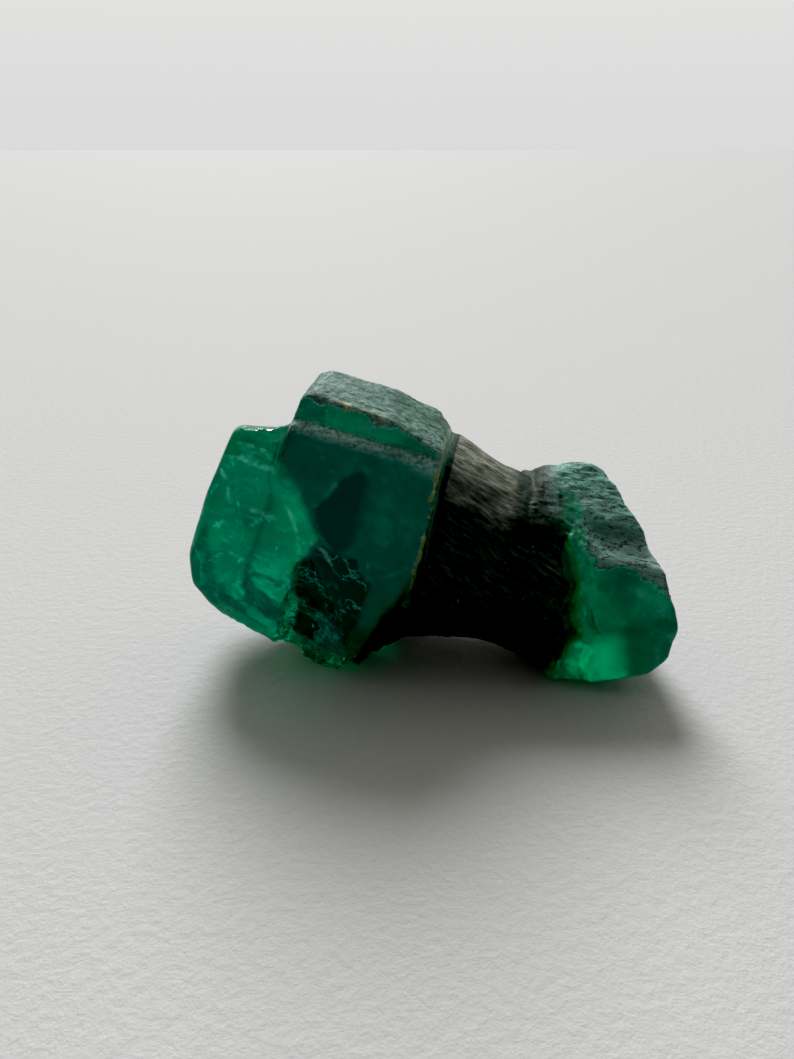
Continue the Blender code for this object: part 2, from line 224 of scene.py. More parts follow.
def loft(name, sections, count, rim=float):
    # extruded from one rim, section by section: along, middle depth and height, half depth and height
    # the loft's own x is depth, y is height and z runs along the waist
    deselectAll()
    bpy.ops.mesh.primitive_circle_add(vertices=count, radius=1.0, fill_type="NGON")
    tube = bpy.context.object
    tube.name = name
    along, depth, height, halfDepth, halfHeight = sections[0]
    for vert in tube.data.vertices:
        x, y = rim(vert.co.x), rim(vert.co.y)
        vert.co = Vector((x * halfDepth + depth, y * halfHeight + height, along)) * mm
    bpy.ops.object.mode_set(mode="EDIT")
    bpy.ops.mesh.select_all(action="SELECT")
    for first, second in zip(sections, sections[1:]):
        move = Vector((second[1] - first[1], second[2] - first[2], second[0] - first[0])) * mm
        bpy.ops.mesh.extrude_region_move(TRANSFORM_OT_translate={"value": move})
        bpy.ops.transform.resize(value=(second[3] / first[3], second[4] / first[4], 1.0),
                                 center_override=Vector((second[1], second[2], second[0])) * mm)
    bpy.ops.mesh.select_all(action="SELECT")
    bpy.ops.mesh.normals_make_consistent(inside=False)
    bpy.ops.object.mode_set(mode="OBJECT")
    return tube


# loft axes (depth, height, along) to crystal axes (along, depth, height)
turnOver = Matrix(((0, 0, 1), (1, 0, 0), (0, 1, 0))).to_4x4()


def waistTube():
    sections = [(along, (back + front) / 2, (top + bottom) / 2, (back - front) / 2, (top - bottom) / 2)
                for along, front, back, top, bottom in waistShape["sections"]]
    tube = loft("waistTube", sections, waistShape["segments"], squarish)
    putDown(tube, places["waist"] @ turnOver)
    bpy.ops.object.mode_set(mode="EDIT")
    for face in ("front", "frontBottom", "bottom"):
        cleave(*blocks["smallPrism"][1][face], places["small"])
    bpy.ops.object.mode_set(mode="OBJECT")
    return tube


def applyAll(item):
    deselectAll()
    item.select_set(True)
    bpy.context.view_layer.objects.active = item
    for modifier in list(item.modifiers):
        bpy.ops.object.modifier_apply(modifier=modifier.name)


body = {
    "voxel": 0.088,      # mm, keeps the stone under 200,000 triangles
    "wear": 15,          # smoothing rounds on the edges
    "wearShare": 0.5,
    "softEnd": (-2.6, -1.2),     # along the small end
    "softLobe": (-4.2, -4.8),    # along the big end
    "lobeShare": 0.3,
    "softWear": 70,      # more rounds on the small end and the lobe, whose edges are melted away
}


def joinBlocks(parts, name):
    deselectAll()
    for part in parts:
        part.select_set(True)
    bpy.context.view_layer.objects.active = parts[0]
    bpy.ops.object.join()
    whole = bpy.context.object
    whole.name = name
    whole.data.name = name
    return whole


print("stage 2: crystal blocks")
parts = [cleavedBlock(name) for name in blocks] + [waistTube()]
stone = joinBlocks(parts, "emerald_body")
skin = stone.modifiers.new("skin", "REMESH")
skin.mode = "VOXEL"
skin.voxel_size = body["voxel"] * mm
wear = stone.modifiers.new("wear", "SMOOTH")
wear.factor = body["wearShare"]
wear.iterations = body["wear"]
applyAll(stone)
print("  skin:", len(stone.data.vertices), "points")


def smoothStep(low, high, value):
    share = min(max((value - low) / (high - low), 0.0), 1.0)
    return share * share * (3.0 - 2.0 * share)


def soften(item):
    toSmall, toBig = places["small"].inverted(), places["big"].inverted()
    group = item.vertex_groups.new(name="soft")
    for vert in item.data.vertices:
        small, big = toSmall @ vert.co / mm, toBig @ vert.co / mm
        share = max(smoothStep(*body["softEnd"], small.x),
                    body["lobeShare"] * smoothStep(*body["softLobe"], big.x))
        if share > 0.0:
            group.add([vert.index], share, "REPLACE")
    soft = item.modifiers.new("soft", "SMOOTH")
    soft.factor = body["wearShare"]
    soft.iterations = body["softWear"]
    soft.vertex_group = "soft"
    applyAll(item)


soften(stone)


def grain(point, size, stretch=(1.0, 1.0, 1.0), seed=0.0):
    scaled = Vector(point[axis] / (size * stretch[axis]) for axis in range(3))
    return noise.noise(scaled + Vector((seed, seed * 1.7, -seed)))


def insidePolygon(across, up, corners):
    inside = False
    for first, second in zip(corners, corners[1:] + corners[:1]):
        if (first[1] > up) != (second[1] > up):
            if across < first[0] + (up - first[1]) * (second[0] - first[0]) / (second[1] - first[1]):
                inside = not inside
    return inside


def rimDistance(across, up, corners):
    nearest = 1e6
    for first, second in zip(corners, corners[1:] + corners[:1]):
        lineX, lineY = second[0] - first[0], second[1] - first[1]
        share = ((across - first[0]) * lineX + (up - first[1]) * lineY) / (lineX * lineX + lineY * lineY)
        share = min(max(share, 0.0), 1.0)
        nearest = min(nearest, math.hypot(across - first[0] - lineX * share, up - first[1] - lineY * share))
    return nearest


def within(across, up, corners, fade):
    # 1 inside the outline, falling to 0 over the fade width
    reach = rimDistance(across, up, corners)
    if not insidePolygon(across, up, corners):
        reach = -reach
    return smoothStep(-0.5 * fade, 0.5 * fade, reach)


def alongLine(across, up, points, width):
    # 1 on the open line, 0 beyond its width
    nearest = min(rimDistance(across, up, [first, second]) for first, second in zip(points, points[1:]))
    return smoothStep(width, 0.3 * width, nearest)


def spot(across, up, centre, size):
    return math.exp(-((across - centre[0]) / size[0]) ** 2 - ((up - centre[1]) / size[1]) ** 2)


def chips(point, spec, seed):
    height, size, sunk = spec
    scaled = point / size + Vector((seed, -seed, seed * 0.5))
    distances, _ = noise.voronoi(scaled)
    return height * min(distances[1] - distances[0], 1.0) - sunk


# height in mm, size in mm, stretch, seed
relief = {
    "etchStreak": (0.020, 0.42, (3.4, 1.0, 1.0), 3.1),
    "etchPit": (0.030, 0.50, (2.2, 1.0, 1.0), 8.7),
    "finePit": (0.030, 0.19, (2.6, 1.0, 1.0), 31.0),
    "frostGrain": (0.018, 0.16, (1.0, 1.0, 1.0), 44.0),
    "rib": (0.05, 0.50, (4.0, 1.0, 1.0), 12.3),
    "fineRib": (0.035, 0.28, (3.0, 1.0, 1.0), 5.9),
    "hairRib": (0.026, 0.15, (3.5, 1.0, 1.0), 19.0),
    "waistLump": (0.13, 1.7, (1.0, 1.0, 1.0), 21.0),
    "bigSatin": (0.037, 1.5, (1.0, 1.0, 1.0), 2.0),
    "smallSatin": (0.037, 1.5, (1.0, 1.0, 1.0), 14.0),
    "wrinkle": (0.055, 0.60, (1.6, 1.0, 1.0), 17.0),
    "fineWrinkle": (0.022, 0.26, (2.0, 1.0, 1.0), 27.0),
    "ripple": (0.075, 0.19, (1.0, 1.0, 3.2), 29.0),
    "crust": (0.07, 0.22, (1.0, 1.0, 1.0), 52.0),
}

# height, size and sinking in mm
chipping = {
    "frontBreak": (0.34, 1.15, 0.28),
    "frontBreakFine": (0.14, 0.42, 0.06),
    "underChips": (0.16, 1.3, 0.10),
    "lobeTopChips": (0.30, 0.85, 0.20),
    "lobeFineChips": (0.14, 0.34, 0.07),
    "bigBackChips": (0.22, 2.3, 0.12),
    "smallCornerChips": (0.22, 0.95, 0.13),
    "smallEndChips": (0.12, 1.5, 0.05),
    "smallBackChips": (0.20, 1.9, 0.10),
}

# outlines and spots on the front faces, (along, up) in mm
bigMarks = {
    "deep": [(-3.55, 4.3), (-3.6, 3.6), (-3.58, 2.7), (-2.5, 1.7), (-1.25, 0.15), (-1.55, -0.5),
             (-1.93, -1.0), (-1.85, -2.4), (-1.5, -2.9), (-1.5, -3.7), (0.3, -5.2), (2.2, -5.0),
             (2.6, 4.3)],
    "deepTop": [(-3.55, 4.3), (-3.6, 3.3), (-3.2, 2.6), (-2.5, 2.35), (-1.7, 2.5), (-1.0, 2.9),
                (0.3, 3.2), (0.6, 4.3)],
    "paleColumn": [(0.55, 3.6), (0.95, 3.6), (1.15, 1.5), (1.0, -0.5), (0.6, -0.3), (0.65, 1.5)],
    "patch": [(-1.10, 2.60), (-1.25, 2.03), (-1.69, 1.49), (-1.41, 0.79), (-0.93, 0.21), (-0.37, -0.15),
              (-0.06, 0.35), (0.22, 1.2), (0.35, 2.76), (-0.4, 3.25)],
    "rough": [(-1.24, 0.05), (-1.55, -0.5), (-1.93, -1.0), (-1.85, -2.4), (-1.5, -2.9), (-1.5, -3.7),
              (-0.3, -4.4), (0.7, -3.7), (1.0, -2.2), (1.0, -0.9), (0.2, -0.1)],
    "flakes": [(-4.6, -3.3), (-3.9, -2.0), (-3.0, -1.2), (-1.95, -0.9), (-1.85, -2.4), (-1.5, -2.9),
               (-1.5, -3.8), (-2.6, -3.5)],
    "tipFlakes": [(-1.6, -3.4), (-0.6, -3.0), (0.2, -3.6), (0.7, -4.5), (0.0, -4.9), (-1.0, -4.2)],
    "topStreaks": [(-5.5, 2.1), (-4.8, 2.75), (-3.45, 3.0), (-3.40, 2.35), (-4.4, 2.15), (-5.2, 1.9)],
    "cracks": [
        [(-1.75, 0.05), (-1.3, 0.05), (-0.9, -0.15), (-0.7, -0.40)],
        [(-1.69, 1.49), (-1.45, 1.85), (-1.20, 2.20), (-1.08, 2.70)],
        [(-2.6, 1.1), (-2.0, 0.2), (-1.75, -0.6), (-1.95, -1.6)],
        [(-3.95, 0.50), (-3.50, 0.56), (-3.0, 0.53)],
        [(-5.2, 2.20), (-4.6, 2.38), (-3.9, 2.22), (-3.5, 2.28)],
        [(-4.9, 2.75), (-4.2, 2.85), (-3.6, 2.70)],
        [(-5.3, 1.7), (-4.95, 1.2), (-4.8, 0.6)],
        [(-4.3, -1.3), (-3.5, -1.7), (-2.7, -1.6), (-2.0, -2.0)],
        [(-3.2, -2.2), (-2.5, -2.5), (-1.9, -3.2)],
    ],
    "darkSpots": [(-3.6, -3.35), (-3.1, -3.1), (-2.3, -3.0), (-2.4, -3.45), (-3.2, -3.65)],
    "midStreaks": [(-5.0, -0.2), (-3.6, -0.9), (-2.6, -0.6), (-2.7, -1.2), (-3.9, -1.5), (-5.0, -0.8)],
}


# where a zone begins and where it is full: mm in the crystal's own axes, or part of the normal
zones = {
    "facesFront": (-0.15, -0.55),
    "hidden": (1.2, 2.4),
    "bigTilt": (0.35, 0.75),
    "bigTop": (3.4, 4.2),
    "bigFront": (-1.6, -2.4),
    "under": (-2.6, -3.8),
    "lobeSide": (-3.3, -3.7),
    "lobeTop": (2.9, 3.5),
    "smallTilt": (0.30, 0.70),
    "smallTop": (1.2, 1.8),
    "smallFront": (-1.3, -2.2),
    "smallLow": (-1.5, -2.6),
    "smallNose": (0.4, 0.8),
    "rippled": (0.5, -0.6),
    "bigBody": (2.75, 2.35),      # where the ends pass into the waist
    "smallBody": (-1.9, -0.7),
    "plateauSide": (-3.3, -2.7),
    "plateauHeight": (2.5, 3.0),
}


def zone(name, value):
    return smoothStep(*zones[name], value)


def waves(point, name):
    height, size, stretch, seed = relief[name]
    return height * grain(point, size, stretch, seed)


def ridges(point, name):
    height, size, stretch, seed = relief[name]
    return height * (1.0 - 3.0 * abs(grain(point, size, stretch, seed)))


def etched(point):
    height, size, stretch, seed = relief["etchPit"]
    pit = -height * smoothStep(0.18, 0.55, grain(point, size, stretch, seed))
    height, size, stretch, seed = relief["finePit"]
    pit -= height * smoothStep(0.15, 0.5, grain(point, size, stretch, seed))
    return pit + waves(point, "etchStreak")


def fracture(point, size, seed):
    # tone of the flat break a point lies in, and the thin line round it
    distances, middles = noise.voronoi(point / size + Vector((seed, 0.6 * seed, -seed)))
    tone = noise.noise(middles[0] * 3.7 + Vector((seed, seed, seed)))
    return tone, smoothStep(0.10, 0.02, distances[1] - distances[0])


def bigFront(point, normal, front):
    # dark zone painted as shade, patch, broken corner, cracks and frost of the faces in front
    along, depth, height = point
    marks = {}
    shift = 0.10 * grain(point, 0.7, seed=35.0)

    def marked(name, width, across=1.0, up=0.0):
        return within(along + across * shift, height + up * shift, bigMarks[name], width)

    # painted shade: the dark inside of the prism seen through the front, darker near the top and lighter in a
    # column
    marks["deep"] = front * marked("deep", 0.22)
    if marks["deep"] > 0.0:
        strength = 0.60 + 0.35 * marked("deepTop", 0.7, 1.0, 1.0)
        strength -= 0.30 * marked("paleColumn", 0.35, 0.3)
        streaks = grain(point, 0.28, (1.0, 1.0, 7.0), 37.0) * smoothStep(0.3, 1.2, along)
        marks["deep"] *= min(strength + 0.35 * streaks, 1.0)
    marks["patch"] = front * marked("patch", 0.18, 0.5)
    marks["patch"] *= smoothStep(0.35, -0.25, along)
    rough = front * marked("rough", 0.20, 2.0, 1.0)
    marks["broken"] = rough
    move = rough * smoothStep(0.1, -0.4, height) * 0.5 * waves(point, "crust")
    marks["flakeAndGlint"] = front * max(marked("flakes", 1.1, 1.0, 2.0),
                                 marked("tipFlakes", 0.30, 1.0, 1.0))
    # frost creeping down from the ledge
    reach = 0.14 + 0.55 * smoothStep(0.6, 2.2, along)
    haze = smoothStep(3.80 - reach, 4.15, height + 0.6 * shift) ** 2 * smoothStep(-2.7, -2.95, depth)
    haze *= smoothStep(-3.75, -3.4, along)
    riser = smoothStep(4.2, 4.4, height) * smoothStep(-0.5, -0.8, normal.y)
    marks["milk"] = max(0.85 * riser, 0.60 * smoothStep(-1.0, -3.0, along), 0.45, 0.7 * rough)
    marks["deep"] *= 1.0 - 0.75 * riser
    marks["milk"] *= 1.0 - 0.6 * marked("flakes", 0.8, 0.0)
    marks["dark"] = 0.10 * riser * smoothStep(0.2, 1.4, along)
    foot = smoothStep(1.45, 2.0, along + 0.20 * (-2.0 - height)) * smoothStep(-1.0, -2.2, height)
    marks["dark"] = max(marks["dark"], foot)
    tone, line = fracture(Vector((along, 0.5 * depth, 0.7 * height)), 1.25, 15.0)
    # painted shade also on some of the lobe's facets and at dark spots
    lobe = front * (1.0 - smoothStep(0.2, 0.7, marks["deep"]))
    darkSpot = marked("darkSpots", 0.2, 2.0, 2.0)
    marks["deep"] = max(marks["deep"] + 0.35 * tone * smoothStep(0.3, 0.8, marks["deep"]),
                        0.9 * smoothStep(0.0, 0.45, tone) * lobe, 0.8 * darkSpot * front)
    line *= smoothStep(-0.05, 0.25, grain(point, 0.45, seed=16.0)) * (1.0 - marks["patch"])
    streak = max(marked("topStreaks", 0.5, 0.0, 1.0),
                 0.8 * marked("midStreaks", 0.5, 0.0, 1.0))
    streak *= smoothStep(0.05, 0.22, grain(Vector((along, 2.0 * depth, height + 0.10 * along)), 0.13,
                                           (4.5, 2.0, 1.0), 53.0))
    crack = max(alongLine(along + shift, height + shift, points, 0.13) for points in bigMarks["cracks"])
    crack *= smoothStep(-0.35, 0.1, grain(point, 0.35, seed=54.0))
    marks["flakeAndGlint"] = max(marks["flakeAndGlint"] * (1.0 - darkSpot), line * (0.9 * lobe + 0.30 * marks["deep"]))
    marks["vein"] = front * max(crack, 0.5 * streak)
    strip = smoothStep(-3.2, -3.8, height) * smoothStep(-1.4, -2.2, along)
    powder = max(strip * (0.25 + 0.4 * grain(point, 0.35, (2.0, 1.0, 1.0), 38.0)),
                 riser * (0.22 + 0.5 * grain(point, 0.40, (2.0, 1.0, 1.0), 40.0)))
    return move, marks, haze, powder


def bigEnd(point, normal):
    # how far the skin moves, and what it looks like there
    along, depth, height = point
    marks = {}
    move = waves(point, "bigSatin")
    top = zone("bigTilt", normal.z) * zone("bigTop", height)
    if top > 0.0:
        move += top * (etched(point) + waves(point, "frostGrain"))
    edge = -1.58 - 0.71 * height
    chipped = smoothStep(edge, edge - 0.5, along) * smoothStep(-2.0, -1.7, along)
    chipped *= smoothStep(-0.3, -1.1, height) * smoothStep(0.5, -1.5, depth)
    if chipped > 0.0:
        move += chipped * (chips(point, chipping["frontBreak"], 4.0)
                           + chips(point, chipping["frontBreakFine"], 9.0))
    under = zone("under", height)
    if under > 0.0:
        move += under * chips(point, chipping["underChips"], 9.0)
    lobeTop = zone("lobeSide", along) * zone("lobeTop", height)
    if lobeTop > 0.0:
        move += lobeTop * (chips(point, chipping["lobeTopChips"], 1.0)
                           + chips(point, chipping["lobeFineChips"], 2.0))
    hidden = zone("hidden", depth)
    if hidden > 0.0:
        move += hidden * (chips(point, chipping["bigBackChips"], 7.0) + 0.5 * etched(point))
    # ochre crust in the corner against the waist
    drift = 0.16 * grain(point, 0.5, seed=62.0)
    seam = smoothStep(0.16, 0.03, abs(along - 2.44 + 0.05 * height + drift)) * smoothStep(0.9, 0.3, normal.z)
    gaps = grain(point, 1.1, seed=61.0) + 0.4 * grain(point, 0.2, seed=63.0) + 0.05 * height
    seam *= smoothStep(-0.05, 0.20, gaps)
    if seam > 0.0:
        move += seam * waves(point, "crust")
    front = zone("bigFront", depth) * zone("facesFront", normal.y)
    haze = powder = 0.0
    if front > 0.0:
        added, marks, haze, powder = bigFront(point, normal, front)
        move += added
    # the ledge band is frost, painted lighter for its sheen, most of all at the left end
    ledge = smoothStep(5.2, 5.0, height + 0.10 * along) * smoothStep(-2.6, -2.8, depth)
    marks["pale"] = max(top * ledge * (1.0 - 0.35 * smoothStep(-2.0, 1.0, along)), 0.7 * haze)
    marks["pale"] *= smoothStep(-3.9, -3.5, along)
    marks["frost"] = max(top, 0.50 * lobeTop, 0.25 * hidden, 0.15 * under, 0.9 * haze, powder)
    marks["flakeAndGlint"] = max(marks.get("flakeAndGlint", 0.0), 0.8 * lobeTop)
    # painted shade on the top, darker towards the left end
    marks["deep"] = max(marks.get("deep", 0.0), 0.6 * top * smoothStep(-0.8, -3.2, along))
    spill = 0.0
    if front > 0.0:   # frost spilling over the plateau's front edge
        lip = 5.05 + 0.30 * grain(point, 0.55, (1.4, 1.0, 1.0), 46.0)
        spill = smoothStep(lip - 0.12, lip, height) * smoothStep(-3.5, -3.3, along)
    marks["solid"] = max(top * (1.0 - 0.9 * ledge), spill)
    marks["frost"] = max(marks["frost"], spill)
    rim = smoothStep(0.16, 0.05, abs(height - 5.10 + 0.05 * along)) * smoothStep(-1.9, -2.3, depth)
    rim *= smoothStep(-2.2, -1.7, along) * smoothStep(0.2, -0.4, along)
    marks["crust"] = max(seam, rim * smoothStep(0.0, 0.3, grain(point, 0.22, seed=47.0) + 0.1))
    return move, marks


smallMarks = {
    "roughSide": [(-1.6, 1.6), (-0.7, 1.1), (-0.1, 0.2), (0.45, -1.0), (0.0, -1.9), (-0.6, -3.4),
                  (-2.2, -2.6), (-1.3, -1.0), (-1.2, 0.5)],
    "glowFoot": [(-1.9, -2.1), (-0.7, -1.8), (0.4, -2.4), (1.2, -3.3), (-0.6, -3.8), (-1.8, -3.0)],
    "crack": [(-0.12, 0.05), (0.10, -0.30), (0.30, -0.75), (0.62, -1.15), (0.50, -1.20), (0.15, -0.80),
              (-0.05, -0.30)],
    "yellowCorner": [(-1.75, 3.3), (-1.2, 3.2), (-0.95, 2.6), (-0.65, 1.9), (-1.2, 1.5), (-1.8, 1.7),
                     (-1.6, 2.6)],
    "frostSide": [(1.3, 0.75), (1.9, 0.9), (2.9, 0.3), (3.6, -1.4), (2.9, -1.9), (2.4, -1.0), (1.7, -0.1)],
}


def smallFront(point, normal, front):
    # painted glow on the side and foot, crack, spots of painted shade and frost of the faces in front
    along, depth, height = point
    marks = {}
    shift = 0.12 * grain(point, 0.6, seed=36.0)

    def marked(name, width, across=1.0, up=0.0):
        return within(along + across * shift, height + up * shift, smallMarks[name], width)

    # painted glow: the backlit side, foot and yellow corner are painted lighter and yellower
    marks["glow"] = front * max(0.75 * marked("roughSide", 0.7),
                                0.5 * marked("glowFoot", 0.5),
                                0.8 * marked("yellowCorner", 0.4),
                                0.35 * spot(along, height, (1.9, 0.7), (0.6, 0.5)))
    # the crack is sunk, and its lip is painted light as a highlight
    crack = front * marked("crack", 0.10, 0.6)
    lip = front * within(along + 0.6 * shift - 0.12, height, smallMarks["crack"], 0.10)
    move = 0.10 * lip - 0.24 * crack
    # streaks that lean to the right as they fall: slight ribs with painted highlights along them
    slant = Vector((0.93 * along + 0.37 * height, 0.0, 0.25 * (0.93 * height - 0.37 * along)))
    streak = smoothStep(0.12, 0.42, grain(slant, 0.15, seed=52.0))
    streak *= max(marked("roughSide", 0.5),
                  0.6 * marked("glowFoot", 0.5))
    marks["flakeAndGlint"] = max(0.9 * lip - crack, 0.75 * front * streak, 0.0)
    move += 0.035 * front * streak
    marks["milk"] = 0.55 + 0.40 * spot(along, height, (-0.2, -3.1), (1.9, 0.9))
    marks["satin"] = front
    riser = smoothStep(1.5, 1.8, height) * smoothStep(-0.55, -0.85, normal.y)
    riser *= smoothStep(-1.6, -1.0, along)
    # painted shade: the dish under the ledge, the riser, the foot and the right edge
    marks["deep"] = front * max(0.85 * spot(along, height, (1.0, 1.05), (1.3, 0.55)),
                                0.30 * spot(along, height, (1.0, 0.2), (0.7, 0.9)),
                                0.55 * spot(along, height, (1.1, -2.0), (1.3, 1.1)),
                                0.55 * spot(along, height, (0.1, -3.3), (1.6, 0.7)),
                                0.60 * smoothStep(2.2, 3.2, along), 0.7 * riser)
    haze = marked("frostSide", 0.7, 1.0, 1.0)
    haze *= 0.75 * front * smoothStep(-0.35, 0.4, grain(point, 0.22, (1.0, 1.0, 2.5), 39.0))
    marks["deep"] = max(marks["deep"], 0.3 * max(fracture(point, 1.0, 18.0)[0], 0.0) * front)
    return move, marks, haze


def smallEnd(point, normal):
    along, depth, height = point
    marks = {}
    move = waves(point, "smallSatin")
    top = zone("smallTilt", normal.z) * zone("smallTop", height)
    if top > 0.0:
        move += top * (etched(point) + waves(point, "wrinkle") + ridges(point, "fineWrinkle"))
    front = zone("smallFront", depth) * zone("facesFront", normal.y)
    low = zone("smallLow", depth)
    move -= 0.36 * low * spot(along, height, (1.5, -0.2), (1.25, 1.2))
    corner = math.exp(-((along + 0.1) / 0.8) ** 2) * smoothStep(1.6, 0.6, height) * low
    if corner > 0.01:
        move += corner * chips(point, chipping["smallCornerChips"], 3.0)
    rippled = zone("rippled", along) * low
    if rippled > 0.0:
        move += rippled * ridges(point, "ripple")
    end = zone("smallNose", normal.x)
    if end > 0.0:
        move += end * chips(point, chipping["smallEndChips"], 11.0)
    hidden = zone("hidden", depth)
    if hidden > 0.0:
        move += hidden * (chips(point, chipping["smallBackChips"], 5.0) + 0.5 * etched(point))
    haze = 0.0
    if front > 0.0:
        added, marks, haze = smallFront(point, normal, front)
        move += added
    marks["wavy"] = top
    marks["pale"] = top * (0.20 + 0.25 * smoothStep(2.5, 2.2, height) * smoothStep(-1.0, 0.0, along))
    marks["frost"] = max(top, 0.25 * hidden, 0.25 * end, haze)
    spill = 0.0
    if front > 0.0:   # frost spilling over the ledge's front edge
        lip = 1.62 - 0.55 * max(along - 1.3, 0.0) + 0.45 * grain(point, 0.45, (1.5, 1.0, 1.0), 48.0)
        lip += 0.25 * grain(point, 0.16, seed=49.0)
        spill = smoothStep(lip - 0.35, lip + 0.15, height) * smoothStep(-1.3, -0.8, along)
    yellow = within(along + 0.25 * grain(point, 0.4, seed=43.0), height, smallMarks["yellowCorner"], 0.5)
    marks["solid"] = max(top, spill) * (1.0 - 0.9 * yellow)
    marks["frost"] = max(marks["frost"], 0.8 * spill) * (1.0 - 0.5 * yellow)
    return move, marks


def waistSkin(point):
    # turned, so that the ribs fall to the right
    turned = Vector((0.91 * point.x - 0.42 * point.z, point.y, 0.42 * point.x + 0.91 * point.z))
    return sum(waves(turned, name) for name in ("rib", "fineRib", "hairRib", "waistLump"))


# where the black stops on the small end: height, along the crystal
darkEdge = ((-2.6, -1.30), (-2.3, -1.08), (-1.8, -0.96), (-1.3, -0.55), (-0.8, -0.84),
            (0.0, -1.03), (0.7, -1.00), (1.5, -1.43), (2.2, -1.95), (3.3, -2.45))


def darkLimit(height):
    for first, second in zip(darkEdge, darkEdge[1:]):
        if height <= second[0]:
            share = min(max((height - first[0]) / (second[0] - first[0]), 0.0), 1.0)
            return first[1] + (second[1] - first[1]) * share
    return darkEdge[-1][1]


groove = {"place": -2.85, "width": 0.13, "depth": 0.07, "drift": 0.12, "above": (1.6, 2.3)}
maskNames = ("frost", "solid", "pale", "wavy", "milk", "glow", "deep", "patch", "flakeAndGlint", "vein",
             "satin", "crust", "broken", "dark")


def weather(item):
    print("stage 3: weathering")
    toCrystal = {name: place.inverted() for name, place in places.items()}
    turnInto = {name: matrix.to_3x3() for name, matrix in toCrystal.items()}
    mesh = item.data
    moves = []
    masks = {name: [] for name in maskNames}
    for vert in mesh.vertices:
        normal = vert.normal
        big = toCrystal["big"] @ vert.co / mm
        small = toCrystal["small"] @ vert.co / mm
        bigShare = zone("bigBody", big.x)
        plateauShare = zone("plateauSide", small.x) * zone("plateauHeight", small.z)
        smallShare = max(zone("smallBody", small.x), plateauShare)
        waistShare = max(1.0 - bigShare - smallShare, 0.0)
        move = 0.0
        marks = dict.fromkeys(maskNames, 0.0)
        if waistShare > 0.0:
            move += waistShare * waistSkin(toCrystal["waist"] @ vert.co / mm)
        for share, point, name, skin in ((bigShare, big, "big", bigEnd),
                                         (smallShare, small, "small", smallEnd)):
            if share > 0.0:
                added, found = skin(point, turnInto[name] @ normal)
                move += share * added
                for key, value in found.items():
                    marks[key] += share * value
        if small.z > groove["above"][0]:   # groove where the waist meets the small end's top
            middle = groove["place"] + groove["drift"] * grain(small, 0.8, seed=77.0)
            near = math.exp(-((small.x - middle) / groove["width"]) ** 2)
            move -= groove["depth"] * near * smoothStep(*groove["above"], small.z)
            # painted shade: the groove is painted darker through the broken mark
            marks["broken"] = max(marks["broken"], smoothStep(1.1, 0.5, abs(small.x + 2.6)))
        limit = darkLimit(small.z) + 0.25 * grain(small, 0.6, seed=71.0)
        marks["dark"] += (1.0 - bigShare) * smoothStep(limit + 0.9, limit - 0.15, small.x)
        moves.append(vert.co + normal * move * mm)
        for key in maskNames:
            masks[key].append(marks[key])
    mesh.vertices.foreach_set("co", [value for point in moves for value in point])
    for name, values in masks.items():
        mesh.attributes.new(name, "FLOAT", "POINT").data.foreach_set("value", values)
    mesh.update()


weather(stone)


def settle(item):
    # flat where it rests, and fitted to the solid's box
    deselectAll()
    item.select_set(True)
    bpy.context.view_layer.objects.active = item
    bpy.ops.object.mode_set(mode="EDIT")
    bpy.ops.mesh.select_all(action="SELECT")
    bpy.ops.mesh.bisect(plane_co=(0, 0, 0), plane_no=(0, 0, -1), use_fill=True, clear_outer=True,
                        threshold=cutTolerance)
    bpy.ops.mesh.select_all(action="SELECT")
    bpy.ops.mesh.quads_convert_to_tris()
    bpy.ops.object.mode_set(mode="OBJECT")
    low, high = cadBox
    corners = [vert.co for vert in item.data.vertices]
    own = [(min(co[axis] for co in corners), max(co[axis] for co in corners)) for axis in range(3)]
    for vert in item.data.vertices:
        for axis in range(3):
            first, last = own[axis]
            share = (vert.co[axis] - first) / (last - first)
            vert.co[axis] = low[axis] + (high[axis] - low[axis]) * share
    item.data.update()
    bpy.ops.object.shade_smooth()
    print("  box before fitting:", [round((b - a) / mm, 3) for a, b in own])


settle(stone)

print("stage 4: materials")


def grainGroup():
    # turned and stretched noise, shared by every finish
    tree = bpy.data.node_groups.new("turnedGrain", "ShaderNodeTree")
    for name, kind in (("Vector", "Vector"), ("Scale", "Float"), ("Detail", "Float"), ("Roughness", "Float"),
                       ("Turn", "Vector"), ("Stretch", "Vector")):
        tree.interface.new_socket(name=name, in_out="INPUT", socket_type="NodeSocket" + kind)
    tree.interface.new_socket(name="Fac", in_out="OUTPUT", socket_type="NodeSocketFloat")
    start, end = tree.nodes.new("NodeGroupInput"), tree.nodes.new("NodeGroupOutput")
    mapping = tree.nodes.new("ShaderNodeMapping")
    mapping.vector_type = "TEXTURE"   # turned first, then stretched
    texture = tree.nodes.new("ShaderNodeTexNoise")
    for name, socket in (("Vector", "Vector"), ("Turn", "Rotation"), ("Stretch", "Scale")):
        tree.links.new(start.outputs[name], mapping.inputs[socket])
    tree.links.new(mapping.outputs[0], texture.inputs["Vector"])
    for name in ("Scale", "Detail", "Roughness"):
        tree.links.new(start.outputs[name], texture.inputs[name])
    tree.links.new(texture.outputs["Fac"], end.inputs["Fac"])
    return tree


turnedGrain = grainGroup()


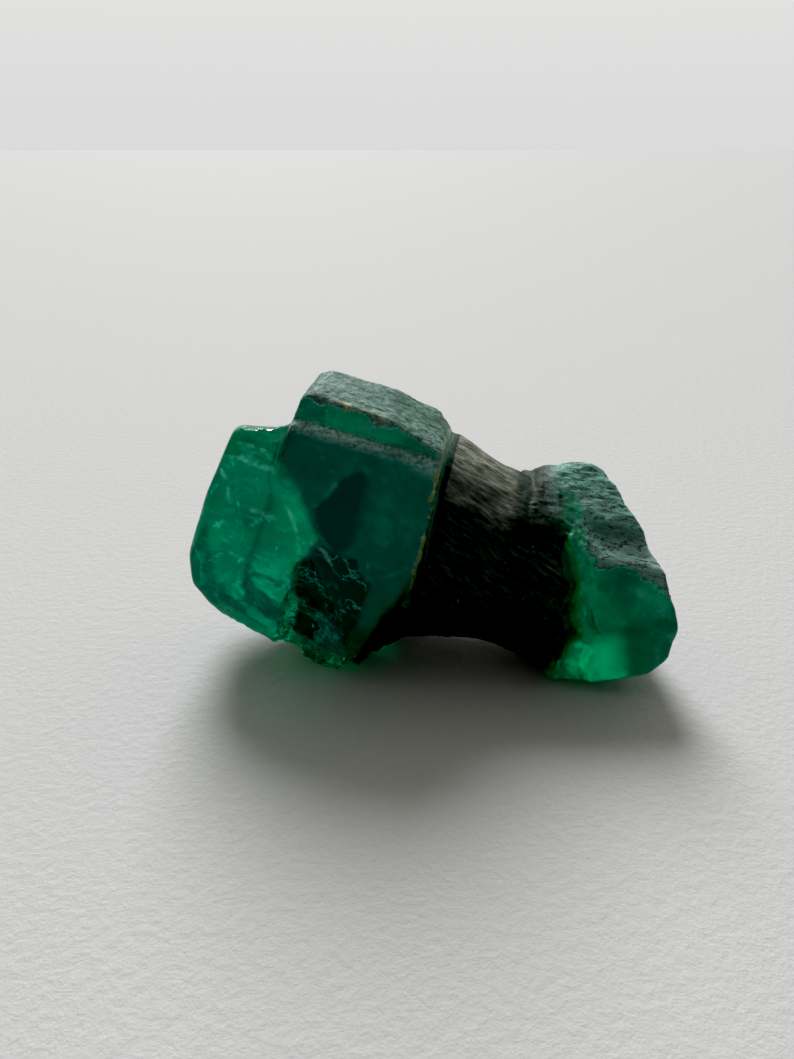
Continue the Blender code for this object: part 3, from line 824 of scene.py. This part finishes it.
class Nodes:
    # short hand for wiring one material

    def __init__(self, name):
        self.material = bpy.data.materials.new(name)
        self.material.use_nodes = True
        self.tree = self.material.node_tree
        self.shader = self.tree.nodes["Principled BSDF"]
        self.coords = self.add("ShaderNodeTexCoord").outputs["Object"]

    def add(self, kind, **values):
        node = self.tree.nodes.new(kind)
        for key, value in values.items():
            setattr(node, key, value)
        return node

    def feed(self, source, socket):
        # another node's output is wired, anything else is set
        if isinstance(source, bpy.types.NodeSocket):
            self.tree.links.new(source, socket)
        elif socket.type == "RGBA":
            socket.default_value = (*source, 1.0)
        else:
            socket.default_value = source

    def finish(self, values):
        for name, value in values.items():
            self.feed(value, self.shader.inputs[name])

    def grain(self, name, spec, turn=(0.0, 0.0, 0.0)):
        # scale per metre, detail, roughness, stretch and turn in radians
        scale, detail, rough, *rest = spec["grains"][name]
        stretch = rest[0] if rest else (1.0, 1.0, 1.0)
        node = self.add("ShaderNodeGroup", node_tree=turnedGrain)
        for key, value in (("Scale", scale), ("Detail", detail), ("Roughness", rough),
                           ("Turn", rest[1] if len(rest) > 1 else turn),
                           ("Stretch", [1.0 / share for share in stretch])):
            node.inputs[key].default_value = value
        self.feed(self.coords, node.inputs["Vector"])
        return node.outputs["Fac"]

    def mask(self, name):
        return self.add("ShaderNodeAttribute", attribute_name=name).outputs["Fac"]

    def ramp(self, value, low, high, first=0.0, last=1.0):
        node = self.add("ShaderNodeMapRange", interpolation_type="SMOOTHSTEP")
        for name, source in (("Value", value), ("From Min", low), ("From Max", high),
                             ("To Min", first), ("To Max", last)):
            self.feed(source, node.inputs[name])
        return node.outputs["Result"]

    def mix(self, share, first, second):
        node = self.add("ShaderNodeMix", data_type="RGBA")
        for source, index in ((share, 0), (first, 6), (second, 7)):
            self.feed(source, node.inputs[index])
        return node.outputs[2]

    def maths(self, operation, first, second=0.0, clamp=False):
        node = self.add("ShaderNodeMath", operation=operation, use_clamp=clamp)
        self.feed(first, node.inputs[0])
        self.feed(second, node.inputs[1])
        return node.outputs[0]

    def times(self, first, second):
        return self.maths("MULTIPLY", first, second)

    def plus(self, first, second):
        return self.maths("ADD", first, second)

    def most(self, first, *others):
        for other in others:
            first = self.maths("MAXIMUM", first, other)
        return first

    def offMiddle(self, grain):
        # how far a grain lies from its middle value
        return self.maths("ABSOLUTE", self.maths("SUBTRACT", grain, 0.5))

    def axis(self, output, name):
        # one part of the surface's own direction
        split = self.add("ShaderNodeSeparateXYZ")
        self.feed(self.add("ShaderNodeNewGeometry").outputs[output], split.inputs[0])
        return split.outputs[name]

    def relief(self, height, spec):
        bump = self.add("ShaderNodeBump")
        bump.inputs["Strength"].default_value, bump.inputs["Distance"].default_value = spec["bump"]
        self.feed(height, bump.inputs["Height"])
        self.finish({"Normal": bump.outputs["Normal"]})


emerald = {
    "ior": 1.58,
    "clarity": 0.90,
    "milkiness": 0.50,
    "body": (0.006, 0.74, 0.40),
    "cloud": (0.0, 0.31, 0.165),
    "wisp": (0.05, 0.86, 0.62),
    # painted shade of the dark inside
    "deep": (0.0, 0.085, 0.060),
    "patch": (0.0, 0.004, 0.004),
    # painted glow of the small end, with painted highlights on its ridges and painted shade in its furrows
    "glow": (0.03, 0.74, 0.30),
    "litRidge": (0.22, 0.92, 0.42),
    "shadedFurrow": (0.0, 0.12, 0.06),
    # flakes, with painted glints along the small end's streaks and the crack's lip
    "flakeAndGlint": (0.14, 1.0, 0.76),
    "vein": (0.30, 1.0, 0.82),
    "frost": (0.26, 0.84, 0.66),
    "pale": (0.60, 0.92, 0.84),
    "crust": (0.20, 0.21, 0.06),
    "crustGrain": (0.66, 0.68, 0.42),
    "edgeOlive": (0.11, 0.15, 0.02),
    "black": (0.004, 0.008, 0.006),
    # dark broken corner, also painted shade in the waist's groove
    "broken": (0.0, 0.026, 0.028),
    "brokenShare": 0.93,
    "hairline": (0.16, 0.80, 0.66),
    "satin": 0.16,          # roughness of the faces in front
    "behind": 0.50,         # and of those that face away
    "under": 0.7,           # and of those that face down
    "rough": 0.5,           # worn and frosted places
    "gloss": 0.26,
    "glossTint": (0.10, 0.75, 0.60),
    "absorbColour": (0.0, 0.925, 0.880),
    "absorbDensity": 1500.0,
    "bump": (0.6, 0.00003),   # strength, metres
    "grains": {
        "cloud": (420.0, 5.0, 0.6, (0.6, 1.0, 1.0)),
        "wisp": (1100.0, 6.0, 0.65, (0.45, 1.0, 1.2), (0.0, 0.35, 0.0)),
        "speckle": (8000.0, 3.0, 0.6),
        "scratch": (1500.0, 5.0, 0.6, (0.5, 1.0, 1.0), (0.0, 0.6, 0.0)),
        "mottle": (2400.0, 6.0, 0.7, (0.7, 1.0, 1.0)),
        "shadedFurrow": (2300.0, 7.0, 0.72, (1.0, 1.0, 0.35), (0.0, -0.35, 0.0)),
        "chip": (4200.0, 5.0, 0.7, (0.55, 1.0, 1.0), (0.0, 0.7, 0.0)),
        "dimples": (1800.0, 1.0, 0.5),
    },
    # laid over the body colour one by one: mask, grain, the grain's range and cover, colour
    "layers": (
        (None, "cloud", (0.38, 0.60), "cloud"),
        (None, "mottle", (0.42, 0.66, 0.0, 0.85), "cloud"),
        (None, "wisp", (0.56, 0.74, 0.0, 0.8), "wisp"),
        # painted glow, then painted shade in the furrows and painted highlights on the ridges
        ("glow", None, None, "glow"),
        ("glow", "shadedFurrow", (0.49, 0.42), "shadedFurrow"),
        ("glow", "shadedFurrow", (0.54, 0.60), "litRidge"),
        # painted shade of the dark inside and the dish
        ("deep", "cloud", (0.35, 0.65, 0.95, 0.6), "deep"),
        ("patch", None, None, "patch"),
        ("brokenPart", None, None, "broken"),
        ("flakeAndGlint", "chip", (0.47, 0.58, 0.15, 1.0), "flakeAndGlint"),
        ("vein", "mottle", (0.40, 0.56, 0.3, 1.0), "vein"),
    ),
}


def emeraldMaterial():
    n = Nodes("clearEmerald")
    grains = {name: n.grain(name, emerald) for name in emerald["grains"]}
    mask = {name: n.mask(name) for name in maskNames}
    mask["brokenPart"] = n.times(mask["broken"], emerald["brokenShare"])
    wisp, speckle = grains["wisp"], grains["speckle"]
    colour = emerald["body"]
    for maskName, grainName, span, tone in emerald["layers"]:
        if grainName is None:
            share = mask[maskName]
        else:
            share = n.ramp(grains[grainName], *span)
            if maskName is not None:
                share = n.times(mask[maskName], share)
        colour = n.mix(share, colour, emerald[tone])
    line = n.times(n.ramp(n.offMiddle(grains["scratch"]), 0.020, 0.004), n.ramp(wisp, 0.46, 0.60))
    hairline = n.times(mask["broken"], line)
    powder = n.most(mask["frost"], n.ramp(mask["solid"], 0.05, 0.55, 0.0, 0.8))
    haze = n.times(powder, n.ramp(speckle, 0.35, 0.60, 0.25, 1.0))
    paleHaze = n.times(mask["pale"], n.ramp(speckle, 0.35, 0.60, 0.35, 1.0))
    crust = n.times(mask["crust"], n.ramp(wisp, 0.30, 0.45))
    crustTone = n.mix(n.ramp(speckle, 0.58, 0.66), emerald["crust"], emerald["crustGrain"])
    for share, tone in ((hairline, emerald["hairline"]), (haze, emerald["frost"]),
                        (paleHaze, emerald["pale"]),
                        (n.ramp(mask["dark"], 0.02, 0.40), emerald["edgeOlive"]),
                        (n.ramp(mask["dark"], 0.30, 0.70), emerald["black"]), (crust, crustTone)):
        colour = n.mix(share, colour, tone)
    milk = n.most(n.times(mask["milk"], n.ramp(wisp, 0.35, 0.65, 0.7, 1.0)),
                  hairline, n.times(haze, 0.5), paleHaze, crust)
    clarity = n.ramp(milk, 0.0, 1.0, emerald["clarity"], emerald["clarity"] - emerald["milkiness"])
    clarity = n.maths("SUBTRACT", clarity, n.times(n.most(crust, paleHaze), 0.3), clamp=True)
    hidden = n.most(n.ramp(n.axis("True Normal", "Y"), -0.2, 0.3, emerald["satin"], emerald["behind"]),
                    n.ramp(n.axis("True Normal", "Z"), -0.25, -0.6, 0.0, emerald["under"]))
    worn = n.most(mask["frost"], mask["broken"], mask["crust"], mask["dark"],
                  n.times(mask["milk"], 0.6), mask["satin"])
    n.finish({"Base Color": colour, "Transmission Weight": clarity,
              "Roughness": n.most(hidden, n.ramp(worn, 0.0, 0.8, 0.0, emerald["rough"])),
              "Specular IOR Level": emerald["gloss"], "Specular Tint": emerald["glossTint"],
              "IOR": emerald["ior"]})
    height = n.times(n.most(mask["frost"], mask["broken"]), n.plus(speckle, grains["scratch"]))
    height = n.plus(height, n.plus(grains["cloud"], n.times(grains["dimples"], 0.6)))
    height = n.plus(height, n.times(mask["glow"], n.times(grains["shadedFurrow"], 3.0)))
    n.relief(height, emerald)
    volume = n.add("ShaderNodeVolumeAbsorption")
    n.feed(emerald["absorbColour"], volume.inputs["Color"])
    n.feed(emerald["absorbDensity"], volume.inputs["Density"])
    n.feed(volume.outputs[0], n.tree.nodes["Material Output"].inputs["Volume"])
    return n.material


waistFinish = {
    "black": (0.0045, 0.0068, 0.0062),
    "grey": (0.036, 0.050, 0.046),
    "brown": (0.40, 0.43, 0.34),
    "green": (0.004, 0.022, 0.018),
    "groove": (0.006, 0.018, 0.013),
    "fleck": (0.13, 0.16, 0.13),
    "ior": 1.5,
    "gloss": 0.25,
    "glossTint": (0.75, 1.0, 0.88),
    "turn": (0.0, math.radians(36), math.radians(-8)),   # along the ribs
    "bump": (0.8, 0.00004),
    "grains": {
        "ribs": (7500.0, 6.0, 0.7, (0.20, 1.0, 1.0)),
        "broad": (2200.0, 5.0, 0.65, (0.45, 1.0, 1.0)),
        "patches": (420.0, 4.0, 0.6),
        "flecks": (5200.0, 2.0, 0.5),
    },
}


def waistMaterial():
    n = Nodes("darkWaist")
    ribs, broad = (n.grain(name, waistFinish, waistFinish["turn"]) for name in ("ribs", "broad"))
    patches, flecks = (n.grain(name, waistFinish) for name in ("patches", "flecks"))
    # brown dust with painted sheen, lighter on the faces that look up, left out in the groove
    dustAndSheen = n.times(n.ramp(n.axis("Normal", "Z"), 0.25, 0.85), n.ramp(ribs, 0.38, 0.62, 0.25, 1.0))
    dustAndSheen = n.times(dustAndSheen, n.ramp(broad, 0.35, 0.60, 0.35, 1.0))
    dustAndSheen = n.times(dustAndSheen, n.ramp(n.mask("broken"), 0.0, 1.0, 1.0, 0.0))
    colour = n.mix(n.ramp(ribs, 0.45, 0.66), waistFinish["black"], waistFinish["grey"])
    for share, tone in ((n.ramp(patches, 0.45, 0.62, 0.0, 0.6), waistFinish["green"]),
                        (dustAndSheen, waistFinish["brown"]),
                        # painted shade in the groove
                        (n.times(n.mask("broken"), 0.85), waistFinish["groove"]),
                        (n.ramp(flecks, 0.70, 0.76, 0.0, 0.8), waistFinish["fleck"]),
                        (n.times(n.mask("crust"), n.ramp(flecks, 0.35, 0.55)), emerald["crust"])):
        colour = n.mix(share, colour, tone)
    n.finish({"Base Color": colour, "Roughness": n.ramp(ribs, 0.3, 0.7, 0.66, 0.48),
              "IOR": waistFinish["ior"],
              "Specular IOR Level": waistFinish["gloss"], "Specular Tint": waistFinish["glossTint"]})
    n.relief(n.plus(ribs, n.times(broad, 1.5)), waistFinish)
    return n.material


etchedFinish = {
    "pale": (0.225, 0.40, 0.335),
    "mid": (0.045, 0.135, 0.105),
    "pit": (0.002, 0.060, 0.042),
    "ledge": (0.64, 0.92, 0.86),
    "crust": (0.55, 0.56, 0.28),
    "teal": (0.06, 0.40, 0.29),
    "wave": (0.010, 0.050, 0.038),
    "rim": (0.012, 0.120, 0.085),
    "gloss": 0.4,
    "glossTint": (0.6, 1.0, 0.88),
    "turn": (0.0, math.radians(13), math.radians(-8)),   # along the crystal
    "bump": (0.9, 0.00003),
    "grains": {
        "speckle": (10000.0, 4.0, 0.7, (0.5, 1.0, 1.0)),
        "pits": (4800.0, 4.0, 0.6, (0.18, 1.0, 1.0)),
        "rows": (3200.0, 4.0, 0.6, (0.35, 1.0, 1.0)),
        "tone": (1100.0, 4.0, 0.6),
    },
}


def etchedMaterial():
    # frosted crystal tops
    n = Nodes("etchedTop")
    speckle, pits, rows = (n.grain(name, etchedFinish, etchedFinish["turn"])
                           for name in ("speckle", "pits", "rows"))
    tone = n.grain("tone", etchedFinish)
    wavy, pale = n.mask("wavy"), n.mask("pale")
    streak = n.times(n.ramp(pits, 0.57, 0.63), n.ramp(pale, 0.5, 0.0))
    wave = n.times(wavy, n.ramp(n.offMiddle(rows), 0.030, 0.005))
    colour = n.mix(n.ramp(speckle, 0.40, 0.60), etchedFinish["mid"], etchedFinish["pale"])
    for share, name in ((n.ramp(tone, 0.45, 0.70, 0.0, 0.6), "mid"),
                        (n.times(wavy, n.ramp(tone, 0.40, 0.60, 0.3, 0.8)), "teal"),
                        (n.times(pale, n.ramp(speckle, 0.30, 0.50, 0.6, 1.0)), "ledge"),
                        # painted shade takes the pit colour
                        (n.times(n.mask("deep"), 0.6), "pit"), (streak, "pit"), (wave, "wave"),
                        (n.ramp(n.mask("solid"), 0.92, 0.50, 0.0, 0.75), "rim")):
        colour = n.mix(share, colour, etchedFinish[name])
    colour = n.mix(n.mask("dark"), colour, waistFinish["grey"])
    colour = n.mix(n.times(n.mask("crust"), n.ramp(tone, 0.42, 0.5)), colour, etchedFinish["crust"])
    n.finish({"Base Color": colour, "Roughness": n.ramp(speckle, 0.3, 0.7, 0.62, 0.42),
              "Specular IOR Level": etchedFinish["gloss"], "Specular Tint": etchedFinish["glossTint"]})
    n.relief(n.maths("SUBTRACT", speckle, n.plus(streak, wave)), etchedFinish)
    return n.material


def readMask(mesh, name):
    values = [0.0] * len(mesh.vertices)
    mesh.attributes[name].data.foreach_get("value", values)
    return values


def splitFaces(item):
    # 0 clear, 1 black waist, 2 frosted top
    mesh = item.data
    dark, frost = readMask(mesh, "dark"), readMask(mesh, "solid")
    for face in mesh.polygons:
        corners = face.vertices
        darkness = sum(dark[index] for index in corners) / len(corners)
        frosting = sum(frost[index] for index in corners) / len(corners)
        point = face.center / mm
        ragged = 0.30 * grain(point, 0.45, (1.6, 1.0, 1.0), 91.0) + 0.15 * grain(point, 0.16, seed=92.0)
        if darkness > 0.93:
            face.material_index = 1
        elif frosting + ragged > 0.62:
            face.material_index = 2
        else:
            face.material_index = 0


stone.data.materials.clear()
for finish in (emeraldMaterial(), waistMaterial(), etchedMaterial()):
    stone.data.materials.append(finish)
splitFaces(stone)
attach(stone, "root")
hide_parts("emerald_crystal")

print("stage 5: inside the stone")


# colour, strength, how much the thin and the thick parts cover, and grain
innerFinish = {
    "innerShade": {"colour": (0.0, 0.050, 0.038), "strength": 1.0, "cover": (0.94, 1.0),
                   "grains": {"cloud": (500.0, 5.0, 0.65)}},
    "darkPatch": {"colour": (0.0, 0.006, 0.005), "strength": 1.0, "cover": (0.75, 0.98),
                  "grains": {"cloud": (700.0, 5.0, 0.65)}},
    "paleVeil": {"colour": (0.45, 0.95, 0.80), "strength": 0.75, "cover": (0.0, 1.0),
                 "grains": {"cloud": (1300.0, 5.0, 0.65, (0.5, 1.0, 1.3))}},
}


def innerMaterial(name):
    # cloudy sheet: thin where the noise is low, fading at its rim
    spec = innerFinish[name]
    n = Nodes(name)
    cover = n.times(n.ramp(n.grain("cloud", spec), 0.35, 0.65, *spec["cover"]), n.mask("rim"))
    n.finish({"Base Color": spec["colour"], "Roughness": 0.6, "Specular IOR Level": 0.1,
              "Alpha": n.times(cover, spec["strength"])})
    return n.material


def innerSheet(name, spec):
    # wrinkled sheet cut to an outline in (along, height), set at a depth
    corners = spec["outline"]
    xs = [corner[0] for corner in corners]
    ys = [corner[1] for corner in corners]
    width, height = max(xs) - min(xs), max(ys) - min(ys)
    cell = spec.get("cell", 0.1)
    deselectAll()
    bpy.ops.mesh.primitive_grid_add(x_subdivisions=max(int(width / cell), 4),
                                    y_subdivisions=max(int(height / cell), 4), size=1.0)
    sheet = bpy.context.object
    sheet.name = name
    mesh = sheet.data
    seed = spec.get("seed", 0.0)
    rims = []
    for vert in mesh.vertices:
        along = min(xs) + (vert.co.x + 0.5) * width
        up = min(ys) + (vert.co.y + 0.5) * height
        wobble = 0.10 * noise.noise(Vector((along * 2.2, up * 2.2, seed)))
        depth = spec["depth"] + spec.get("lean", 0.0) * (along - xs[0]) + spec.get("tip", 0.0) * up
        depth += spec.get("wrinkle", 0.12) * noise.noise(Vector((along * 1.3 + seed, up * 1.3, seed * 2.0)))
        inside = insidePolygon(along, up, corners)
        reach = rimDistance(along, up, corners) * (1.0 if inside else -1.0) + wobble
        rims.append(smoothStep(0.0, spec["fade"], reach))
        vert.co = Vector((along, depth, up)) * mm
    mesh.attributes.new("rim", "FLOAT", "POINT").data.foreach_set("value", rims)
    bpy.ops.object.mode_set(mode="EDIT")
    bpy.ops.mesh.select_all(action="DESELECT")
    bpy.ops.object.mode_set(mode="OBJECT")
    for face in mesh.polygons:
        face.select = max(rims[index] for index in face.vertices) <= 0.0
    bpy.ops.object.mode_set(mode="EDIT")
    bpy.ops.mesh.delete(type="FACE")
    bpy.ops.object.mode_set(mode="OBJECT")
    putDown(sheet, places[spec["crystal"]])
    sheet.data.materials.append(spec["material"])
    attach(sheet, "root")
    bpy.ops.object.shade_smooth()
    return sheet


shade, patch, veil = (innerMaterial(name) for name in ("innerShade", "darkPatch", "paleVeil"))

diagonal = [(-3.1, 4.2), (-3.25, 3.5), (-3.35, 2.6), (-2.5, 1.6), (-1.35, 0.1), (-1.6, -0.5), (-1.95, -1.0),
            (-1.9, -2.4), (-1.55, -2.9), (-1.5, -4.2)]
innerSheets = {
    "inner_shade": {
        "crystal": "big", "depth": -2.65, "material": shade, "fade": 0.10, "seed": 3.0, "wrinkle": 0.15,
        "tip": 0.08, "outline": diagonal + [(1.4, -4.9), (2.30, -3.2), (2.38, 0.0), (2.38, 4.3)],
    },
    "dark_patch": {
        "crystal": "big", "depth": -2.95, "material": patch, "fade": 0.10, "seed": 9.0, "cell": 0.06,
        "outline": [(-1.14, 2.3), (-1.43, 1.62), (-1.72, 1.22), (-1.6, 0.53), (-1.24, 0.15), (-0.35, -0.32),
                    (0.05, 0.1), (0.15, 0.9), (0.5, 2.0), (-0.1, 2.4)],
    },
    "lobe_veil_top": {
        "crystal": "big", "depth": -2.5, "material": veil, "fade": 0.35, "seed": 5.0, "tip": 0.3,
        "outline": [(-5.2, 2.5), (-4.2, 2.9), (-3.5, 2.85), (-3.6, 2.3), (-4.6, 2.1)],
    },
    "lobe_veil_low": {
        "crystal": "big", "depth": -2.0, "material": veil, "fade": 0.5, "seed": 6.0, "lean": 0.2,
        "outline": [(-5.0, 0.4), (-3.6, 1.4), (-2.9, 0.3), (-3.6, -1.2), (-4.7, -0.8)],
    },
    "crack_veil": {
        "crystal": "big", "depth": -3.05, "material": veil, "fade": 0.10, "seed": 7.0, "cell": 0.05,
        "outline": [(-1.6, 0.55), (-1.2, 0.45), (-0.1, -0.25), (0.2, -0.5), (-0.4, -0.35), (-1.3, 0.2)],
    },
    "crescent_veil": {
        "crystal": "big", "depth": -2.85, "material": veil, "fade": 0.16, "seed": 4.0, "cell": 0.05,
        "outline": [(-1.75, 1.30), (-1.40, 1.95), (-1.38, 2.85), (-1.18, 2.60), (-1.15, 1.95), (-1.40, 1.45)],
    },
    "end_veil": {
        "crystal": "small", "depth": -2.3, "material": veil, "fade": 0.4, "seed": 8.0, "lean": -0.2,
        "outline": [(-0.5, 0.9), (0.6, 0.8), (1.0, -0.6), (0.9, -1.8), (0.0, -1.6), (-0.3, -0.3)],
    },
}
for name, spec in innerSheets.items():
    innerSheet(name, spec)


coreShape = {
    # along the waist, middle depth, middle height, half depth, half height in mm
    "sections": ((-5.3, 0.3, 0.6, 0.4, 0.6), (-4.7, 0.2, 0.4, 1.3, 1.9), (-3.4, 0.1, 0.2, 1.9, 2.9),
                 (-2.2, 0.0, -0.1, 2.1, 3.1), (0.0, -0.1, -0.4, 2.1, 3.0), (2.2, -0.2, -0.4, 2.4, 2.9),
                 (2.7, -0.3, -0.3, 2.1, 2.5), (3.0, -0.2, -0.3, 1.5, 2.0), (3.2, -0.1, -0.2, 0.7, 1.0)),
    "segments": 36,
    "voxel": 0.16,
    "lumps": ((0.35, 1.4, 81.0), (0.14, 0.5, 83.0)),   # height and size in mm, seed
}
coreFinish = {
    "black": (0.001, 0.003, 0.002),
    "green": (0.004, 0.020, 0.012),
    "grains": {"cloud": (900.0, 4.0, 0.6)},
}


def darkCore():
    # black filling that reaches from the waist into both ends
    core = loft("dark_core", coreShape["sections"], coreShape["segments"])
    skin = core.modifiers.new("skin", "REMESH")
    skin.mode = "VOXEL"
    skin.voxel_size = coreShape["voxel"] * mm
    applyAll(core)
    for vert in core.data.vertices:
        point = vert.co / mm
        lump = sum(height * grain(point, size, seed=seed) for height, size, seed in coreShape["lumps"])
        vert.co += vert.normal * lump * mm
    putDown(core, places["waist"] @ turnOver)
    bpy.ops.object.shade_smooth()
    n = Nodes("blackCore")
    n.finish({"Base Color": n.mix(n.ramp(n.grain("cloud", coreFinish), 0.4, 0.65),
                                  coreFinish["black"], coreFinish["green"]),
              "Roughness": 0.8, "Specular IOR Level": 0.1})
    core.data.materials.append(n.material)
    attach(core, "root")


darkCore()

print("stage 6: floor, light and camera")


paperFinish = {
    "size": 8.0,      # metres
    "cells": 8,
    "colour": (0.72, 0.72, 0.73),
    "bump": (0.5, 0.00015),
    "grains": {"fine": (2600.0, 6.0, 0.7)},
}


def floorMaterial():
    n = Nodes("palePaper")
    n.finish({"Base Color": paperFinish["colour"], "Roughness": 0.85})
    n.relief(n.grain("fine", paperFinish), paperFinish)
    return n.material


def paperFloor():
    # wide plain sheet, far past what the camera sees
    deselectAll()
    bpy.ops.mesh.primitive_grid_add(x_subdivisions=paperFinish["cells"], y_subdivisions=paperFinish["cells"],
                                    size=paperFinish["size"], location=(0, 0, 0))
    paper = bpy.context.object
    paper.name = "paper_floor"
    paper.data.materials.append(floorMaterial())
    return paper


paperFloor()

light = {
    "sunHeight": 42.0,       # degrees above the floor
    "sunSide": -10.0,        # degrees from straight behind, less than nought is to the left
    "sunSpread": 30.0,
    "sunStrength": 2.85,
    "sunColour": (0.975, 0.985, 1.0),
    "skyBehind": 0.66,
    "skyFront": 0.046,
    "horizon": (0.712, 0.712, 0.715, 1.0),
    "backdrop": (0.790, 0.785, 0.772, 1.0),
    "backdropRise": 0.22,
    "skyColour": (1.0, 0.98, 0.86, 1.0),
    "skySlope": (-0.45, 0.8),
}


def backLight():
    deselectAll()
    bpy.ops.object.light_add(type="SUN", location=(0, 0.2, 0.2))
    lamp = bpy.context.object
    lamp.name = "window_light"
    lamp.data.energy = light["sunStrength"]
    lamp.data.angle = math.radians(light["sunSpread"])
    lamp.data.color = light["sunColour"]
    height, side = math.radians(light["sunHeight"]), math.radians(light["sunSide"])
    towards = Vector((math.sin(side) * math.cos(height), math.cos(side) * math.cos(height), math.sin(height)))
    lamp.rotation_euler = (-towards).to_track_quat("-Z", "Y").to_euler()


def softSky():
    # brighter behind the stone than in front
    world = bpy.data.worlds.new("studio")
    bpy.context.scene.world = world
    world.use_nodes = True
    nodes, links = world.node_tree.nodes, world.node_tree.links
    sky = nodes["Background"]
    sky.inputs["Color"].default_value = light["skyColour"]
    backdrop = nodes.new("ShaderNodeBackground")
    split = nodes.new("ShaderNodeSeparateXYZ")
    links.new(nodes.new("ShaderNodeTexCoord").outputs["Generated"], split.inputs[0])
    rise = nodes.new("ShaderNodeMapRange")
    rise.interpolation_type = "SMOOTHSTEP"
    rise.inputs["From Max"].default_value = light["backdropRise"]
    links.new(split.outputs["Z"], rise.inputs["Value"])
    tone = nodes.new("ShaderNodeMix")
    tone.data_type = "RGBA"
    tone.inputs[6].default_value = light["horizon"]
    tone.inputs[7].default_value = light["backdrop"]
    links.new(rise.outputs["Result"], tone.inputs[0])
    links.new(tone.outputs[2], backdrop.inputs["Color"])
    slope = nodes.new("ShaderNodeMapRange")
    slope.interpolation_type = "SMOOTHSTEP"
    low, high = light["skySlope"]
    for name, number in (("From Min", low), ("From Max", high),
                         ("To Min", light["skyFront"]), ("To Max", light["skyBehind"])):
        slope.inputs[name].default_value = number
    links.new(split.outputs["Y"], slope.inputs["Value"])
    links.new(slope.outputs["Result"], sky.inputs["Strength"])
    choose = nodes.new("ShaderNodeMixShader")
    links.new(nodes.new("ShaderNodeLightPath").outputs["Is Camera Ray"], choose.inputs[0])
    links.new(sky.outputs[0], choose.inputs[1])
    links.new(backdrop.outputs[0], choose.inputs[2])
    links.new(choose.outputs[0], nodes["World Output"].inputs["Surface"])


backLight()
softSky()

view = {
    "place": (-1.239, -29.894, 19.0),   # mm
    "down": 25.0,                       # degrees
    "lens": 28.0,
    "sensor": 36.0,
    "nearest": 0.001,
    "farthest": 10.0,
    "blackLevel": 0.008,
    "bounces": {"transmission_bounces": 14, "transparent_max_bounces": 16, "max_bounces": 16},
}
deselectAll()
bpy.ops.object.camera_add(location=[value * mm for value in view["place"]],
                          rotation=(math.radians(90.0 - view["down"]), 0.0, 0.0))
camera = bpy.context.object
camera.name = "camera"
camera.data.lens = view["lens"]
camera.data.sensor_width = view["sensor"]
camera.data.clip_start = view["nearest"]
camera.data.clip_end = view["farthest"]
scene = bpy.context.scene
scene.camera = camera
scene.view_settings.view_transform = "Standard"
scene.view_settings.use_curve_mapping = True
curves = scene.view_settings.curve_mapping
curves.black_level = [view["blackLevel"]] * 3
curves.update()
for name, count in view["bounces"].items():
    setattr(scene.cycles, name, count)
